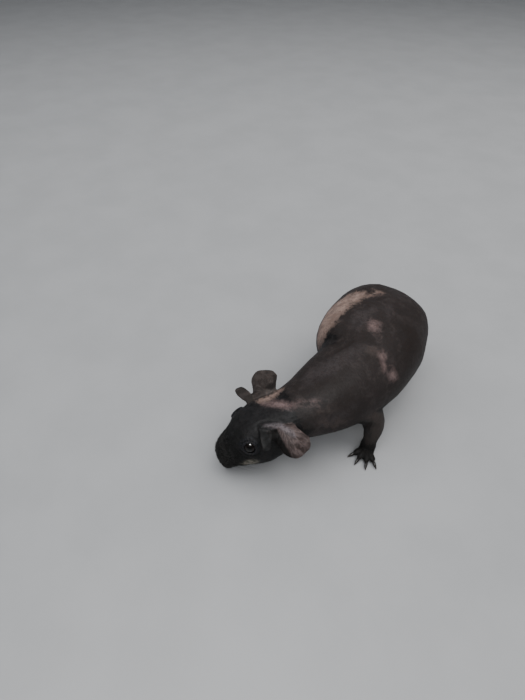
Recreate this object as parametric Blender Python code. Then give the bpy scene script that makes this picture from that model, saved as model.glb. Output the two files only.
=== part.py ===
"""A life-size skinny pig, the hairless breed of guinea pig, standing with its body bent to its right.

The animal faces -Y with its feet on the floor at z = 0. Trunk, neck and head are swept along a bent
spine and parted by thin flat cuts. Legs, ears, eyes and claws are set on them from their sizes.
Lengths are in millimetres until a mesh is made.
"""

import math

import bmesh
import bpy
import numpy as np
from mathutils import Matrix, Vector

MM = 0.001
GAP = 0.3
SIDES = 40

# Spine stations, rump to neck: x, y and z of the centre, half width, rise to the back, drop to the
# belly, and how square the section is (2 is an ellipse).
TRUNK_STATIONS = {
    "tail_root": (-35.0, 116.2, 39.5, 8.5, 7.0, 7.5, 2.0),
    "rump": (-33.8, 113.2, 40.5, 20.5, 14.8, 16.0, 2.05),
    "buttock": (-31.8, 106.4, 42.0, 31.6, 22.6, 25.0, 2.2),
    "haunch": (-28.6, 92.2, 45.4, 40.2, 30.6, 32.4, 2.3),
    "hips": (-22.0, 69.0, 47.8, 45.4, 35.0, 34.0, 2.25),
    "loin": (-13.4, 46.0, 47.0, 46.0, 37.6, 32.0, 2.2),
    "waist": (-4.0, 25.0, 46.0, 38.5, 36.5, 29.0, 2.2),
    "ribs": (-2.0, 4.0, 45.0, 34.0, 34.0, 26.0, 2.2),
    "shoulder": (-4.0, -16.0, 44.0, 31.0, 30.0, 24.0, 2.2),
    "neck_base": (-8.5, -34.0, 42.5, 26.5, 25.0, 21.0, 2.1),
}
TRUNK_RINGS = 40
NECK_CUT_RING = 34
# Rings crowd towards the rump by this power, which keeps its end round.
TRUNK_CROWDING = 1.25

# The head's own frame: its origin behind the ears, and how far it turns to the right, dips and
# leans over to the right.
HEAD_ORIGIN = (-16.6, -55.5, 37.2)
HEAD_TURN = 23.8
HEAD_DIP = 21.3
HEAD_LEAN = 5.0

# Head stations: forward of the origin, half width, rise, drop, squareness.
HEAD_STATIONS = {
    "nape": (-9.0, 22.5, 20.0, 21.5, 2.1),
    "jaw_corner": (2.0, 22.5, 20.0, 24.0, 2.1),
    "cheek": (11.0, 23.2, 21.0, 25.5, 2.15),
    "ear_line": (20.0, 22.6, 21.5, 26.5, 2.15),
    "eye_line": (31.0, 19.2, 19.2, 25.0, 2.2),
    "bridge": (40.5, 15.0, 14.4, 21.6, 2.2),
    "muzzle": (49.5, 12.3, 10.4, 18.0, 2.3),
    "lip": (55.0, 10.6, 7.6, 14.2, 2.3),
    "nose": (58.4, 7.0, 4.4, 9.2, 2.1),
    "nose_tip": (60.0, 2.8, 0.8, 3.8, 2.0),
}
# From this far forward the muzzle bends down, and by so much at the tip of the nose.
MUZZLE_BEND = (34.0, 60.0, 5.0)
HEAD_RINGS = 30
# Soft forms on the head: forward, left and up of the middle, reach, height; each is on both sides.
HEAD_FORMS = {
    "brow": (33.0, 13.5, 14.0, 6.0, 1.2),
    "lip_pad": (56.5, 6.0, -4.5, 4.5, 1.0),
    "chin_hollow": (50.0, 6.5, -12.5, 4.0, -1.0),
    "eye_corner": (38.5, 13.0, 6.0, 4.0, -0.9),
}

EYE_PLACE = (28.6, 14.8, 8.8)
EYE_AXIS = (0.26, 0.88, 0.4)
EYE_RADIUS = 5.8
LID_RADIUS = 5.3
LID_SQUASH = 0.96
LID_THICKNESS = 1.1
LID_LIFT = 3.9

NOSTRIL_PLACE = (58.8, 3.4, -0.6)
NOSTRIL_SIZE = (1.7, 0.75, 1.5)
# The mouth's line on one side: forward of the origin and degrees down round the head from its top.
MOUTH_LINE = ((44.5, 119.0), (48.5, 127.0), (52.5, 137.0), (55.6, 156.0), (56.4, 180.0))
LIP_CLEFT = ((60.2, 0.0, -2.8), (59.3, 0.0, -7.4), (56.8, 0.0, -13.6))
CREASE_RADIUS = 0.6

# Outline of the ear laid flat, from the front flap's edge round to the back of the leaf: forward
# along its root, outward from it, and where on the root the same fibre of the ear starts.
EAR_OUTLINE = {
    "flap_front": (14.0, 12.5, 5.8),
    "flap_tip": (13.4, 20.5, 3.6),
    "flap_back": (7.6, 19.0, 2.0),
    "notch": (2.6, 9.0, 0.6),
    "leaf_front": (0.2, 14.0, -0.8),
    "leaf_corner": (-0.8, 22.0, -2.8),
    "leaf_top": (-5.5, 28.0, -5.2),
    "leaf_end": (-13.5, 27.0, -8.0),
    "leaf_tip": (-20.5, 21.0, -11.0),
    "leaf_back": (-22.0, 14.0, -14.0),
}
EAR_ROOT_DEPTH = -5.0
EAR_REACH = 28.0
# Where the leaf's dome and the fold before it begin, outward from the root, and their run to full.
EAR_DOME = (-5.0, 8.0)
EAR_FOLD = (4.0, 8.0)
EAR_THICKNESS = (1.8, 1.1)
EAR_ROWS = 9
EAR_COLUMNS = 34
# Each ear's root on the head, how far that root runs outward and up for each millimetre forward,
# the ear's slope below level at root and rim, in degrees, the share of its forward lean and
# length that the front flap shows, and of its backward lean and length the leaf.
EAR_POSE = {
    "left": ((9.5, 10.5, 13.4), (-0.16, 0.2), (-2.0, 86.0), (0.74, 0.66), (1.04, 0.82)),
    "right": ((9.5, 10.5, 13.0), (0.0, 0.0), (-12.0, 22.0), (1.0, 1.0), (1.0, 1.0)),
}

# Legs: x, y and z of each joint, and the half width and half depth of the limb there.
FRONT_LEGS = {
    "left": (
        (17.0, -10.0, 44.0, 11.0, 13.0),
        (28.0, 4.0, 29.0, 9.8, 10.8),
        (33.5, 1.0, 19.0, 7.8, 8.4),
        (35.5, -4.0, 8.8, 5.6, 5.6),
    ),
    "right": (
        (-22.0, -14.0, 44.0, 11.0, 13.0),
        (-30.0, -2.0, 29.0, 9.8, 10.8),
        (-34.0, -6.0, 19.0, 7.8, 8.4),
        (-35.5, -12.0, 8.8, 5.6, 5.6),
    ),
}
HIND_LEGS = {
    "left": (
        (-8.0, 78.0, 46.0, 16.0, 20.0),
        (5.0, 74.0, 29.0, 13.0, 17.0),
        (7.0, 85.0, 17.0, 9.2, 11.2),
        (5.0, 92.0, 8.8, 5.7, 5.7),
    ),
    "right": (
        (-40.0, 66.0, 46.0, 16.0, 20.0),
        (-51.0, 59.0, 29.0, 13.0, 17.0),
        (-55.0, 69.0, 17.0, 9.2, 11.2),
        (-54.5, 77.0, 8.8, 5.7, 5.7),
    ),
}
LIMB_RINGS = 11
LIMB_SIDES = 18

# Feet: where the ankle stands, how far the toes turn to the left of straight ahead, in degrees.
FOOT_PLACES = {
    "front_left": (35.5, -4.0, 20.0),
    "front_right": (-35.5, -12.0, -16.0),
    "hind_left": (5.0, 92.0, 12.0),
    "hind_right": (-54.5, 77.0, 6.0),
}
# The sole's length and half width, the toes' length, radius, splay in degrees and size of each.
FORE_FOOT = {
    "heel": 3.8, "length": 9.0, "half_width": 6.4, "height": 6.4, "ankle": 5.6,
    "toe": 8.4, "toe_radius": 2.6, "claw": 6.4,
    "splay": (-44.0, -15.0, 13.0, 42.0), "share": (0.86, 1.0, 0.96, 0.8),
}
HIND_FOOT = {
    "heel": 5.8, "length": 22.0, "half_width": 5.9, "height": 6.8, "ankle": 5.7,
    "toe": 9.5, "toe_radius": 2.8, "claw": 7.5,
    "splay": (-19.0, 0.0, 19.0), "share": (0.88, 1.0, 0.9),
}
ANKLE_HEIGHT = 8.5
CLAW_TIP_HEIGHT = 0.5

SKIN_COLOUR = (0.045, 0.038, 0.036, 1.0)
EYE_COLOUR = (0.008, 0.006, 0.006, 1.0)
CLAW_COLOUR = (0.03, 0.027, 0.025, 1.0)


def clear_scene():
    for item in list(bpy.data.objects):
        bpy.data.objects.remove(item, do_unlink=True)


def material(name, colour, roughness):
    made = bpy.data.materials.new(name)
    made.use_nodes = True
    shader = made.node_tree.nodes["Principled BSDF"]
    shader.inputs["Base Color"].default_value = colour
    shader.inputs["Roughness"].default_value = roughness
    return made


# Curves and sections

def spline_at(knots, rows, where, end_slope=None):
    """Values of the natural cubic spline through rows at knots; end_slope sets its last direction."""
    rows = np.asarray(rows, float)
    n = len(knots)
    step = np.diff(knots)
    chord = np.diff(rows, axis=0) / step[:, None]
    system = np.zeros((n, n))
    right = np.zeros_like(rows)
    system[0, :2] = (2.0, 1.0)
    right[0] = 3.0 * chord[0]
    system[-1, -2:] = (1.0, 2.0)
    right[-1] = 3.0 * chord[-1]
    for i in range(1, n - 1):
        system[i, i - 1 : i + 2] = (step[i], 2.0 * (step[i - 1] + step[i]), step[i - 1])
        right[i] = 3.0 * (step[i] * chord[i - 1] + step[i - 1] * chord[i])
    if end_slope is not None:
        system[-1] = 0.0
        system[-1, -1] = 1.0
        right[-1] = end_slope
    slopes = np.linalg.solve(system, right)
    i = np.clip(np.searchsorted(knots, where) - 1, 0, n - 2)
    t = ((where - knots[i]) / step[i])[:, None]
    h = step[i][:, None]
    return (
        (1 + 2 * t) * (1 - t) ** 2 * rows[i]
        + t * (1 - t) ** 2 * h * slopes[i]
        + t * t * (3 - 2 * t) * rows[i + 1]
        + t * t * (t - 1) * h * slopes[i + 1]
    )


def spline_along(rows, count, end_slope=None, crowding=1.0):
    """The spline through rows at count steps of the length of its first columns.

    The steps are even at a crowding of 1 and shorter towards the start above it.
    """
    rows = np.asarray(rows, float)
    spans = np.linalg.norm(np.diff(rows[:, :3], axis=0), axis=1)
    knots = np.concatenate([[0.0], np.cumsum(spans)])
    return spline_at(knots, rows, knots[-1] * np.linspace(0.0, 1.0, count) ** crowding, end_slope)


def section(half_width, rise, drop, squareness, sides=SIDES):
    """A ring in its own plane: left and up coordinates, starting at the top."""
    angle = np.arange(sides) * (2 * math.pi / sides)
    across, along = np.sin(angle), np.cos(angle)
    power = 2.0 / squareness
    left = half_width * np.sign(across) * np.abs(across) ** power
    up = np.sign(along) * np.abs(along) ** power
    return np.stack([left, np.where(up > 0, rise, drop) * up], axis=1)


def frame_of(forward):
    """Left, up and forward directions of a ring whose plane faces forward."""
    forward = np.asarray(forward, float) / np.linalg.norm(forward)
    left = np.cross((0.0, 0.0, 1.0), forward)
    left /= np.linalg.norm(left)
    return left, np.cross(forward, left), forward


# Meshes

def new_object(name, shell, finish=None):
    bmesh.ops.recalc_face_normals(shell, faces=shell.faces)
    mesh = bpy.data.meshes.new(name)
    shell.to_mesh(mesh)
    shell.free()
    if finish is not None:
        mesh.materials.append(finish)
    made = bpy.data.objects.new(name, mesh)
    bpy.context.scene.collection.objects.link(made)
    return made


def closed_loft(name, rings, finish=None):
    """A closed mesh through the rings, with a flat cap on each end."""
    sides = len(rings[0])
    shell = bmesh.new()
    rows = [[shell.verts.new(Vector(point) * MM) for point in ring] for ring in rings]
    for near, far in zip(rows, rows[1:]):
        for k in range(sides):
            shell.faces.new((near[k], near[(k + 1) % sides], far[(k + 1) % sides], far[k]))
    shell.faces.new(rows[0][::-1])
    shell.faces.new(rows[-1])
    return new_object(name, shell, finish)


def tube(name, path, radii, sides=10, finish=None):
    """A closed round tube along the path, one radius at each point, with small ends."""
    path = np.asarray(path, float)
    tangents = np.gradient(path, axis=0)
    rings = []
    for centre, tangent, radius in zip(path, tangents, radii):
        left, up, _ = frame_of(tangent + (1e-4, 2e-4, 0.0))
        flat = section(radius, radius, radius, 2.0, sides)
        rings.append(centre + flat[:, :1] * left + flat[:, 1:] * up)
    return closed_loft(name, rings, finish)


def ball(name, centre, radius, across=20, along=12, squash=(1.0, 1.0, 1.0), turn=None):
    """A closed ball with its poles along its own z, squashed and then turned about its centre."""
    shell = bmesh.new()
    bmesh.ops.create_uvsphere(shell, u_segments=across, v_segments=along, radius=radius * MM)
    bmesh.ops.scale(shell, vec=squash, verts=shell.verts)
    if turn is not None:
        bmesh.ops.transform(shell, matrix=turn, verts=shell.verts)
    bmesh.ops.translate(shell, vec=Vector(centre) * MM, verts=shell.verts)
    return new_object(name, shell)


def boolean(target, others, operation):
    """Joins the other objects to the target, or cuts them from it, and removes them."""
    group = bpy.data.collections.new("operands")
    for other in others:
        bpy.context.scene.collection.objects.unlink(other)
        group.objects.link(other)
    bpy.context.scene.collection.children.link(group)
    change = target.modifiers.new(operation.lower(), "BOOLEAN")
    change.operation = operation
    change.operand_type = "COLLECTION"
    change.collection = group
    change.solver = "EXACT"
    bpy.context.view_layer.update()
    graph = bpy.context.evaluated_depsgraph_get()
    mesh = bpy.data.meshes.new_from_object(target.evaluated_get(graph))
    target.modifiers.clear()
    old = target.data
    target.data = mesh
    mesh.name = target.name
    bpy.data.meshes.remove(old)
    for other in others:
        bpy.data.objects.remove(other, do_unlink=True)
    bpy.data.collections.remove(group)
    keep_largest(target)


def keep_largest(target):
    """Drops every loose scrap, and keeps the surface with the most corners."""
    shell = bmesh.new()
    shell.from_mesh(target.data)
    shell.verts.ensure_lookup_table()
    unseen = set(shell.verts)
    groups = []
    while unseen:
        stack = [unseen.pop()]
        group = []
        while stack:
            vert = stack.pop()
            group.append(vert)
            for edge in vert.link_edges:
                other = edge.other_vert(vert)
                if other in unseen:
                    unseen.remove(other)
                    stack.append(other)
        groups.append(group)
    groups.sort(key=len, reverse=True)
    loose = [vert for group in groups[1:] for vert in group]
    bmesh.ops.delete(shell, geom=loose, context="VERTS")
    shell.to_mesh(target.data)
    shell.free()


def cut_floor(target):
    """Cuts off what reaches below the floor, which leaves flat soles."""
    shell = bmesh.new()
    bmesh.ops.create_cube(shell, size=1.0)
    bmesh.ops.translate(shell, vec=(0.0, 0.0, -0.5), verts=shell.verts)
    boolean(target, [new_object("floor_cutter", shell)], "DIFFERENCE")


# Trunk and neck

def head_axes():
    turn, dip, lean = (math.radians(angle) for angle in (HEAD_TURN, HEAD_DIP, HEAD_LEAN))
    forward = (-math.sin(turn) * math.cos(dip), -math.cos(turn) * math.cos(dip), -math.sin(dip))
    left, up, forward = frame_of(forward)
    return (
        left * math.cos(lean) + up * math.sin(lean),
        up * math.cos(lean) - left * math.sin(lean),
        forward,
    )


def on_head(forward, left, up):
    """A point given in the head's frame, in the model's frame."""
    axis_left, axis_up, axis_forward = head_axes()
    bend_start, tip, bend = MUZZLE_BEND
    up = up - bend * max((forward - bend_start) / (tip - bend_start), 0.0) ** 2
    return np.array(HEAD_ORIGIN) + forward * axis_forward + left * axis_left + up * axis_up


def along_head(forward, left, up):
    """A direction given in the head's frame, in the model's frame."""
    return on_head(forward, left, up) - np.array(HEAD_ORIGIN)


def trunk_rings(swell=0.0):
    """Rings from the tail root to the nape, each in a flat plane across the spine."""
    rows = list(TRUNK_STATIONS.values())
    nape = HEAD_STATIONS["nape"]
    rows.append((*on_head(nape[0], 0.0, 0.0), *nape[1:]))
    forward = head_axes()[2]
    end_slope = np.concatenate([forward, np.zeros(4)])
    values = spline_along(rows, TRUNK_RINGS, end_slope, TRUNK_CROWDING)
    centres = values[:, :3]
    tangents = np.gradient(centres, axis=0)
    tangents[-1] = forward
    rings = []
    for centre, tangent, (half_width, rise, drop, squareness) in zip(centres, tangents, values[:, 3:]):
        left, up, _ = frame_of(tangent)
        flat = section(half_width + swell, rise + swell, drop + swell, squareness)
        rings.append(centre + flat[:, :1] * left + flat[:, 1:] * up)
    return rings


def shifted(ring, distance):
    """A flat ring moved along its own normal, from the rump towards the nose when positive."""
    middle = ring.mean(axis=0)
    quarter = len(ring) // 4
    normal = np.cross(ring[0] - middle, ring[quarter] - middle)
    normal /= np.linalg.norm(normal)
    if normal[1] > 0:
        normal = -normal
    return ring + distance * normal


def make_trunk(skin):
    rings = trunk_rings()
    cut = NECK_CUT_RING
    closed_loft("torso", [*rings[:cut], shifted(rings[cut], -GAP / 2)], skin)
    neck_rings = [shifted(rings[cut], GAP / 2), *rings[cut + 1 : -1], shifted(rings[-1], -GAP)]
    closed_loft("neck", neck_rings, skin)


# Head

def head_form(forward, left, up):
    """How far the soft forms push the head's skin out at a point of its frame."""
    pushed = 0.0
    for place_forward, place_left, place_up, reach, height in HEAD_FORMS.values():
        away = (forward - place_forward) ** 2 + (abs(left) - place_left) ** 2 + (up - place_up) ** 2
        pushed += height * math.exp(-away / reach**2)
    return pushed


def head_rings(swell=0.0):
    rows = np.array(list(HEAD_STATIONS.values()))
    share = np.linspace(0.0, 1.0, HEAD_RINGS)
    where = rows[0, 0] + (rows[-1, 0] - rows[0, 0]) * (1 - (1 - share) ** 1.35)
    rings = []
    for forward, half_width, rise, drop, squareness in spline_at(rows[:, 0], rows, where):
        ring = []
        for left, up in section(half_width + swell, rise + swell, drop + swell, squareness):
            grow = 1.0 + head_form(forward, left, up) / math.hypot(left, up)
            ring.append(on_head(forward, left * grow, up * grow))
        rings.append(np.array(ring))
    return rings


def head_surface(forward, degrees):
    """The point of the head's skin at a ring, some degrees round from its top towards the left."""
    rows = np.array(list(HEAD_STATIONS.values()))
    _, half_width, rise, drop, squareness = spline_at(rows[:, 0], rows, np.array([forward]))[0]
    angle = math.radians(degrees)
    power = 2.0 / squareness
    left = half_width * math.copysign(abs(math.sin(angle)) ** power, math.sin(angle))
    up = math.copysign(abs(math.cos(angle)) ** power, math.cos(angle))
    up *= rise if up > 0 else drop
    grow = 1.0 + head_form(forward, left, up) / math.hypot(left, up)
    return (forward, left * grow, up * grow)


def turn_to(direction):
    """The rotation that takes +Z to a direction of the model."""
    return Vector(direction).to_track_quat("Z", "Y").to_matrix().to_4x4()


def eye_ball(name, side, radius, finish=None):
    forward, left, up = EYE_PLACE
    axis = along_head(EYE_AXIS[0], side * EYE_AXIS[1], EYE_AXIS[2])
    made = ball(name, on_head(forward, side * left, up), radius, turn=turn_to(axis))
    if finish is not None:
        made.data.materials.append(finish)
    return made


def lid_ring(side):
    """The rim of both lids, an oval bead round the front of the eyeball."""
    forward, left, up = EYE_PLACE
    out = along_head(EYE_AXIS[0], side * EYE_AXIS[1], EYE_AXIS[2])
    out /= np.linalg.norm(out)
    along = along_head(1.0, 0.0, 0.0)
    along -= out * (along @ out)
    along /= np.linalg.norm(along)
    across = np.cross(out, along)
    middle = on_head(forward, side * left, up) + out * LID_LIFT
    around, beads = 22, 8
    rings = []
    for i in range(around):
        angle = i * 2 * math.pi / around
        spoke = along * math.cos(angle) + across * math.sin(angle) * LID_SQUASH
        centre = middle + spoke * LID_RADIUS
        spoke /= np.linalg.norm(spoke)
        turns = [k * 2 * math.pi / beads for k in range(beads)]
        rings.append([centre + LID_THICKNESS * (spoke * math.cos(t) + out * math.sin(t)) for t in turns])
    shell = bmesh.new()
    rows = [[shell.verts.new(Vector(p) * MM) for p in ring] for ring in rings]
    for i in range(around):
        near, far = rows[i], rows[(i + 1) % around]
        for k in range(beads):
            shell.faces.new((near[k], near[(k + 1) % beads], far[(k + 1) % beads], far[k]))
    return new_object("lid", shell)


def crease(points, count=12):
    """A thin tube along points of the head's frame, which cuts a crease."""
    path = spline_along([on_head(*point) for point in points], count)
    return tube("crease", path, [CREASE_RADIUS] * count, sides=6)


def nostril(side):
    forward, left, up = NOSTRIL_PLACE
    axis = along_head(0.55, side * 0.35, 0.75)
    size = NOSTRIL_SIZE[1:] + NOSTRIL_SIZE[:1]
    return ball("nostril", on_head(forward, side * left, up), 1.0, 12, 8, size, turn_to(axis))


def make_head(skin, eye):
    head = closed_loft("head", head_rings(), skin)
    boolean(head, [lid_ring(side) for side in (1, -1)], "UNION")
    cutters = [eye_ball("socket", side, EYE_RADIUS + GAP) for side in (1, -1)]
    cutters += [nostril(side) for side in (1, -1)]
    mouth = [head_surface(*place) for place in MOUTH_LINE]
    mouth += [(forward, -left, up) for forward, left, up in reversed(mouth[:-1])]
    cutters.append(crease(mouth, 24))
    boolean(head, cutters, "DIFFERENCE")
    boolean(head, [crease(LIP_CLEFT)], "DIFFERENCE")
    eye_ball("eye_left", 1, EYE_RADIUS, eye)
    eye_ball("eye_right", -1, EYE_RADIUS, eye)


# Ears

def ear_height(forward, out):
    """Lift of the ear's sheet off its flat outline: a domed leaf, a rolled flap, a deep fold between."""
    beyond = max(out, 0.0)
    leaf = 4.0 * math.exp(-(((forward + 9.0) / 9.0) ** 2)) * min((out - EAR_DOME[0]) / EAR_DOME[1], 1.0)
    flap_share = 1.0 / (1.0 + math.exp(-(forward - 4.0) / 1.5))
    flap = flap_share * 3.0
    fold = -4.5 * math.exp(-(((forward - 2.6) / 3.8) ** 2)) * math.exp(-((out / 15.0) ** 2))
    fold *= min(max(out - EAR_FOLD[0], 0.0) / EAR_FOLD[1], 1.0)
    ridges = 0.35 * math.sin(6.5 * math.atan2(forward + 3.0, out + 8.0)) * min(beyond / 8.0, 1.0)
    return leaf + flap + fold + ridges * (1.0 - flap_share)


def ear_sheet(side):
    """Middle surface of one ear in the model's frame, as rows from the root to the rim."""
    place, run, slopes, flap_share, leaf_share = EAR_POSE["left" if side > 0 else "right"]
    slope, rim_slope = np.radians(slopes)
    bend = (rim_slope - slope) / (EAR_REACH - EAR_ROOT_DEPTH)
    outline = np.array(list(EAR_OUTLINE.values()))
    flap = outline[:, 2] > 1.0
    outline[flap] *= (*flap_share, 1.0)
    outline[~flap] *= (*leaf_share, 1.0)
    rim = spline_along(outline, EAR_COLUMNS)
    sheet = []
    for j in range(EAR_ROWS):
        t = j / (EAR_ROWS - 1)
        row = []
        for k in range(EAR_COLUMNS):
            root = np.array([rim[k][2], EAR_ROOT_DEPTH])
            forward, out = root + (rim[k][:2] - root) * t
            lift = ear_height(forward, out)
            hang = slope + bend * (out - EAR_ROOT_DEPTH)
            left = (math.sin(hang) - math.sin(slope)) / bend + lift * math.sin(hang)
            up = (math.cos(hang) - math.cos(slope)) / bend + lift * math.cos(hang)
            left += place[1] + run[0] * forward
            up += place[2] + run[1] * forward
            row.append(on_head(place[0] + forward, side * left, up))
        sheet.append(row)
    return np.array(sheet)


def make_ear(name, side, skin):
    sheet = ear_sheet(side)
    down_rows = np.gradient(sheet, axis=0)
    along_rows = np.gradient(sheet, axis=1)
    normals = np.cross(down_rows, along_rows)
    normals /= np.linalg.norm(normals, axis=2)[:, :, None]
    thick = np.linspace(EAR_THICKNESS[0], EAR_THICKNESS[1], EAR_ROWS)[:, None, None] / 2
    shell = bmesh.new()
    faces_of = []
    for offset in (thick, -thick):
        points = sheet + normals * offset
        faces_of.append([[shell.verts.new(Vector(p) * MM) for p in row] for row in points])
    top, bottom = faces_of
    for j in range(EAR_ROWS - 1):
        for k in range(EAR_COLUMNS - 1):
            for grid, order in ((top, 1), (bottom, -1)):
                a, b = grid[j][k], grid[j][k + 1]
                c, d = grid[j + 1][k + 1], grid[j + 1][k]
                shell.faces.new((a, b, c)[::order])
                shell.faces.new((a, c, d)[::order])
    edge = [(0, k) for k in range(EAR_COLUMNS)]
    edge += [(j, EAR_COLUMNS - 1) for j in range(1, EAR_ROWS)]
    edge += [(EAR_ROWS - 1, k) for k in range(EAR_COLUMNS - 2, -1, -1)]
    edge += [(j, 0) for j in range(EAR_ROWS - 2, 0, -1)]
    for (j, k), (m, n) in zip(edge, edge[1:] + edge[:1]):
        a, b, c, d = top[j][k], top[m][n], bottom[m][n], bottom[j][k]
        shell.faces.new((a, b, c))
        shell.faces.new((a, c, d))
    ear = new_object(name, shell, skin)
    boolean(ear, [closed_loft("head_cutter", head_rings(GAP))], "DIFFERENCE")
    boolean(ear, [closed_loft("trunk_cutter", trunk_rings(GAP))], "DIFFERENCE")


# Legs and feet

def make_limb(name, joints, skin):
    """A tapered limb from inside the trunk down to a level cut at the ankle, parted from the trunk."""
    joints = [list(joint) for joint in joints]
    joints[-1][2] = ANKLE_HEIGHT + GAP
    values = spline_along(joints, LIMB_RINGS, end_slope=(0.0, 0.0, -1.0, 0.0, 0.0))
    tangents = np.gradient(values[:, :3], axis=0)
    tangents[-1] = (0.0, 0.0, -1.0)
    rings = []
    for (x, y, z, half_width, half_depth), tangent in zip(values, tangents):
        across = np.cross(tangent, (0.0, 1.0, 0.0))
        across /= np.linalg.norm(across)
        depth = np.cross(across, tangent) / np.linalg.norm(tangent)
        flat = section(half_width, half_depth, half_depth, 2.0, LIMB_SIDES)
        rings.append(np.array([x, y, z]) + flat[:, :1] * across + flat[:, 1:] * depth)
    limb = closed_loft(name, rings, skin)
    boolean(limb, [closed_loft("trunk_cutter", trunk_rings(GAP))], "DIFFERENCE")


def toe_path(foot, k, reach=1.0):
    """A toe's middle line in the foot's frame, forward and left and up, from the sole to its tip."""
    splay = math.radians(foot["splay"][k])
    share = foot["share"][k]
    radius = foot["toe_radius"]
    start = np.array([foot["length"] - 2.0, -math.sin(splay) * foot["half_width"] * 0.75, radius * 1.1])
    out = np.array([math.cos(splay), -math.sin(splay), 0.0])
    length = foot["toe"] * share * reach
    steps = np.linspace(0.0, 1.0, 6)
    arch = np.sin(steps * math.pi) ** 2 * 0.9 - steps * radius * 0.08
    return start + steps[:, None] * out * length + arch[:, None] * (0.0, 0.0, 1.0)


def in_foot(place, point):
    """A point of the foot's frame (forward, left, up) in the model's frame."""
    x, y, turn = place
    angle = math.radians(turn)
    forward = np.array([math.sin(angle), -math.cos(angle), 0.0])
    left = np.array([math.cos(angle), math.sin(angle), 0.0])
    return np.array([x, y, 0.0]) + forward * point[0] + left * point[1] + np.array([0.0, 0.0, point[2]])


def make_foot(name, place, foot, skin, horn):
    """Sole, toes and ankle joined into one body, cut level under the leg and on the floor."""
    rings = []
    for t in np.linspace(0.0, 1.0, 9):
        forward = t * (foot["heel"] + foot["length"]) - foot["heel"]
        round_off = (1.0 - (1.0 - min(t / 0.25, 1.0)) ** 2) ** 0.5
        width = foot["half_width"] * (0.4 + 0.6 * round_off) * (0.8 + 0.3 * t)
        rise = foot["height"] * (0.55 + 0.45 * round_off) * (1.0 - 0.4 * t) * 0.62
        flat = section(width, rise, rise, 2.1, 16)
        rings.append([in_foot(place, (forward, left, rise * 0.62 + up)) for left, up in flat])
    sole = closed_loft(name, rings, skin)
    added = []
    for k in range(len(foot["splay"])):
        path = [in_foot(place, point) for point in toe_path(foot, k)]
        radii = [foot["toe_radius"] * share for share in (1.0, 1.0, 0.95, 0.92, 0.85, 0.55)]
        added.append(tube("toe", path, radii))
    added.append(ankle(place, foot))
    boolean(sole, added, "UNION")
    cut_floor(sole)
    for k in range(len(foot["splay"])):
        make_claw(f"claw_{name[5:]}_{k + 1}", place, foot, k, horn)


def ankle(place, foot):
    """The stump of the ankle, ending level at the height where the leg starts."""
    rings = []
    for t in np.linspace(0.0, 1.0, 5):
        width = foot["ankle"] * (1.0 + 0.12 * (1.0 - t) ** 2)
        flat = section(width, width, width, 2.0, LIMB_SIDES)
        height = 2.0 + t * (ANKLE_HEIGHT - 2.0)
        rings.append([(place[0] + left, place[1] + up, height) for left, up in flat])
    return closed_loft("ankle", rings)


def make_claw(name, place, foot, k, horn):
    path = toe_path(foot, k)
    out = path[-1] - path[-2]
    out /= np.linalg.norm(out)
    start = path[-1] + out * (GAP + 0.1)
    length = foot["claw"] * (0.75 + 0.25 * foot["share"][k])
    knee = start + out * length * 0.6
    tip = start + out * length
    tip[2] = CLAW_TIP_HEIGHT
    points = []
    for t in np.linspace(0.0, 1.0, 6):
        point = start * (1 - t) ** 2 + knee * 2 * t * (1 - t) + tip * t * t
        points.append(in_foot(place, point))
    root = foot["toe_radius"] * 0.52
    tube(name, points, [root * share for share in (0.85, 1.0, 0.88, 0.68, 0.42, 0.14)], 8, horn)


def centre_on_floor():
    """Moves every mesh so that the middle of the model's box stands over the origin."""
    meshes = [item.data for item in bpy.context.scene.objects if item.type == "MESH"]
    points = np.array([vert.co[:2] for mesh in meshes for vert in mesh.vertices])
    middle = (points.min(axis=0) + points.max(axis=0)) / 2
    for mesh in meshes:
        mesh.transform(Matrix.Translation((-middle[0], -middle[1], 0.0)))


def main():
    clear_scene()
    skin = material("skin", SKIN_COLOUR, 0.55)
    eye = material("eye", EYE_COLOUR, 0.05)
    horn = material("claw", CLAW_COLOUR, 0.35)
    make_trunk(skin)
    make_head(skin, eye)
    make_ear("ear_left", 1, skin)
    make_ear("ear_right", -1, skin)
    for side, joints in FRONT_LEGS.items():
        make_limb(f"leg_front_{side}", joints, skin)
    for side, joints in HIND_LEGS.items():
        make_limb(f"leg_hind_{side}", joints, skin)
    for name, place in FOOT_PLACES.items():
        make_foot(f"foot_{name}", place, FORE_FOOT if "front" in name else HIND_FOOT, skin, horn)
    centre_on_floor()


main()
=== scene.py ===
import math

import bmesh
import bpy
import numpy as np
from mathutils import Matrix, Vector, kdtree


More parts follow.
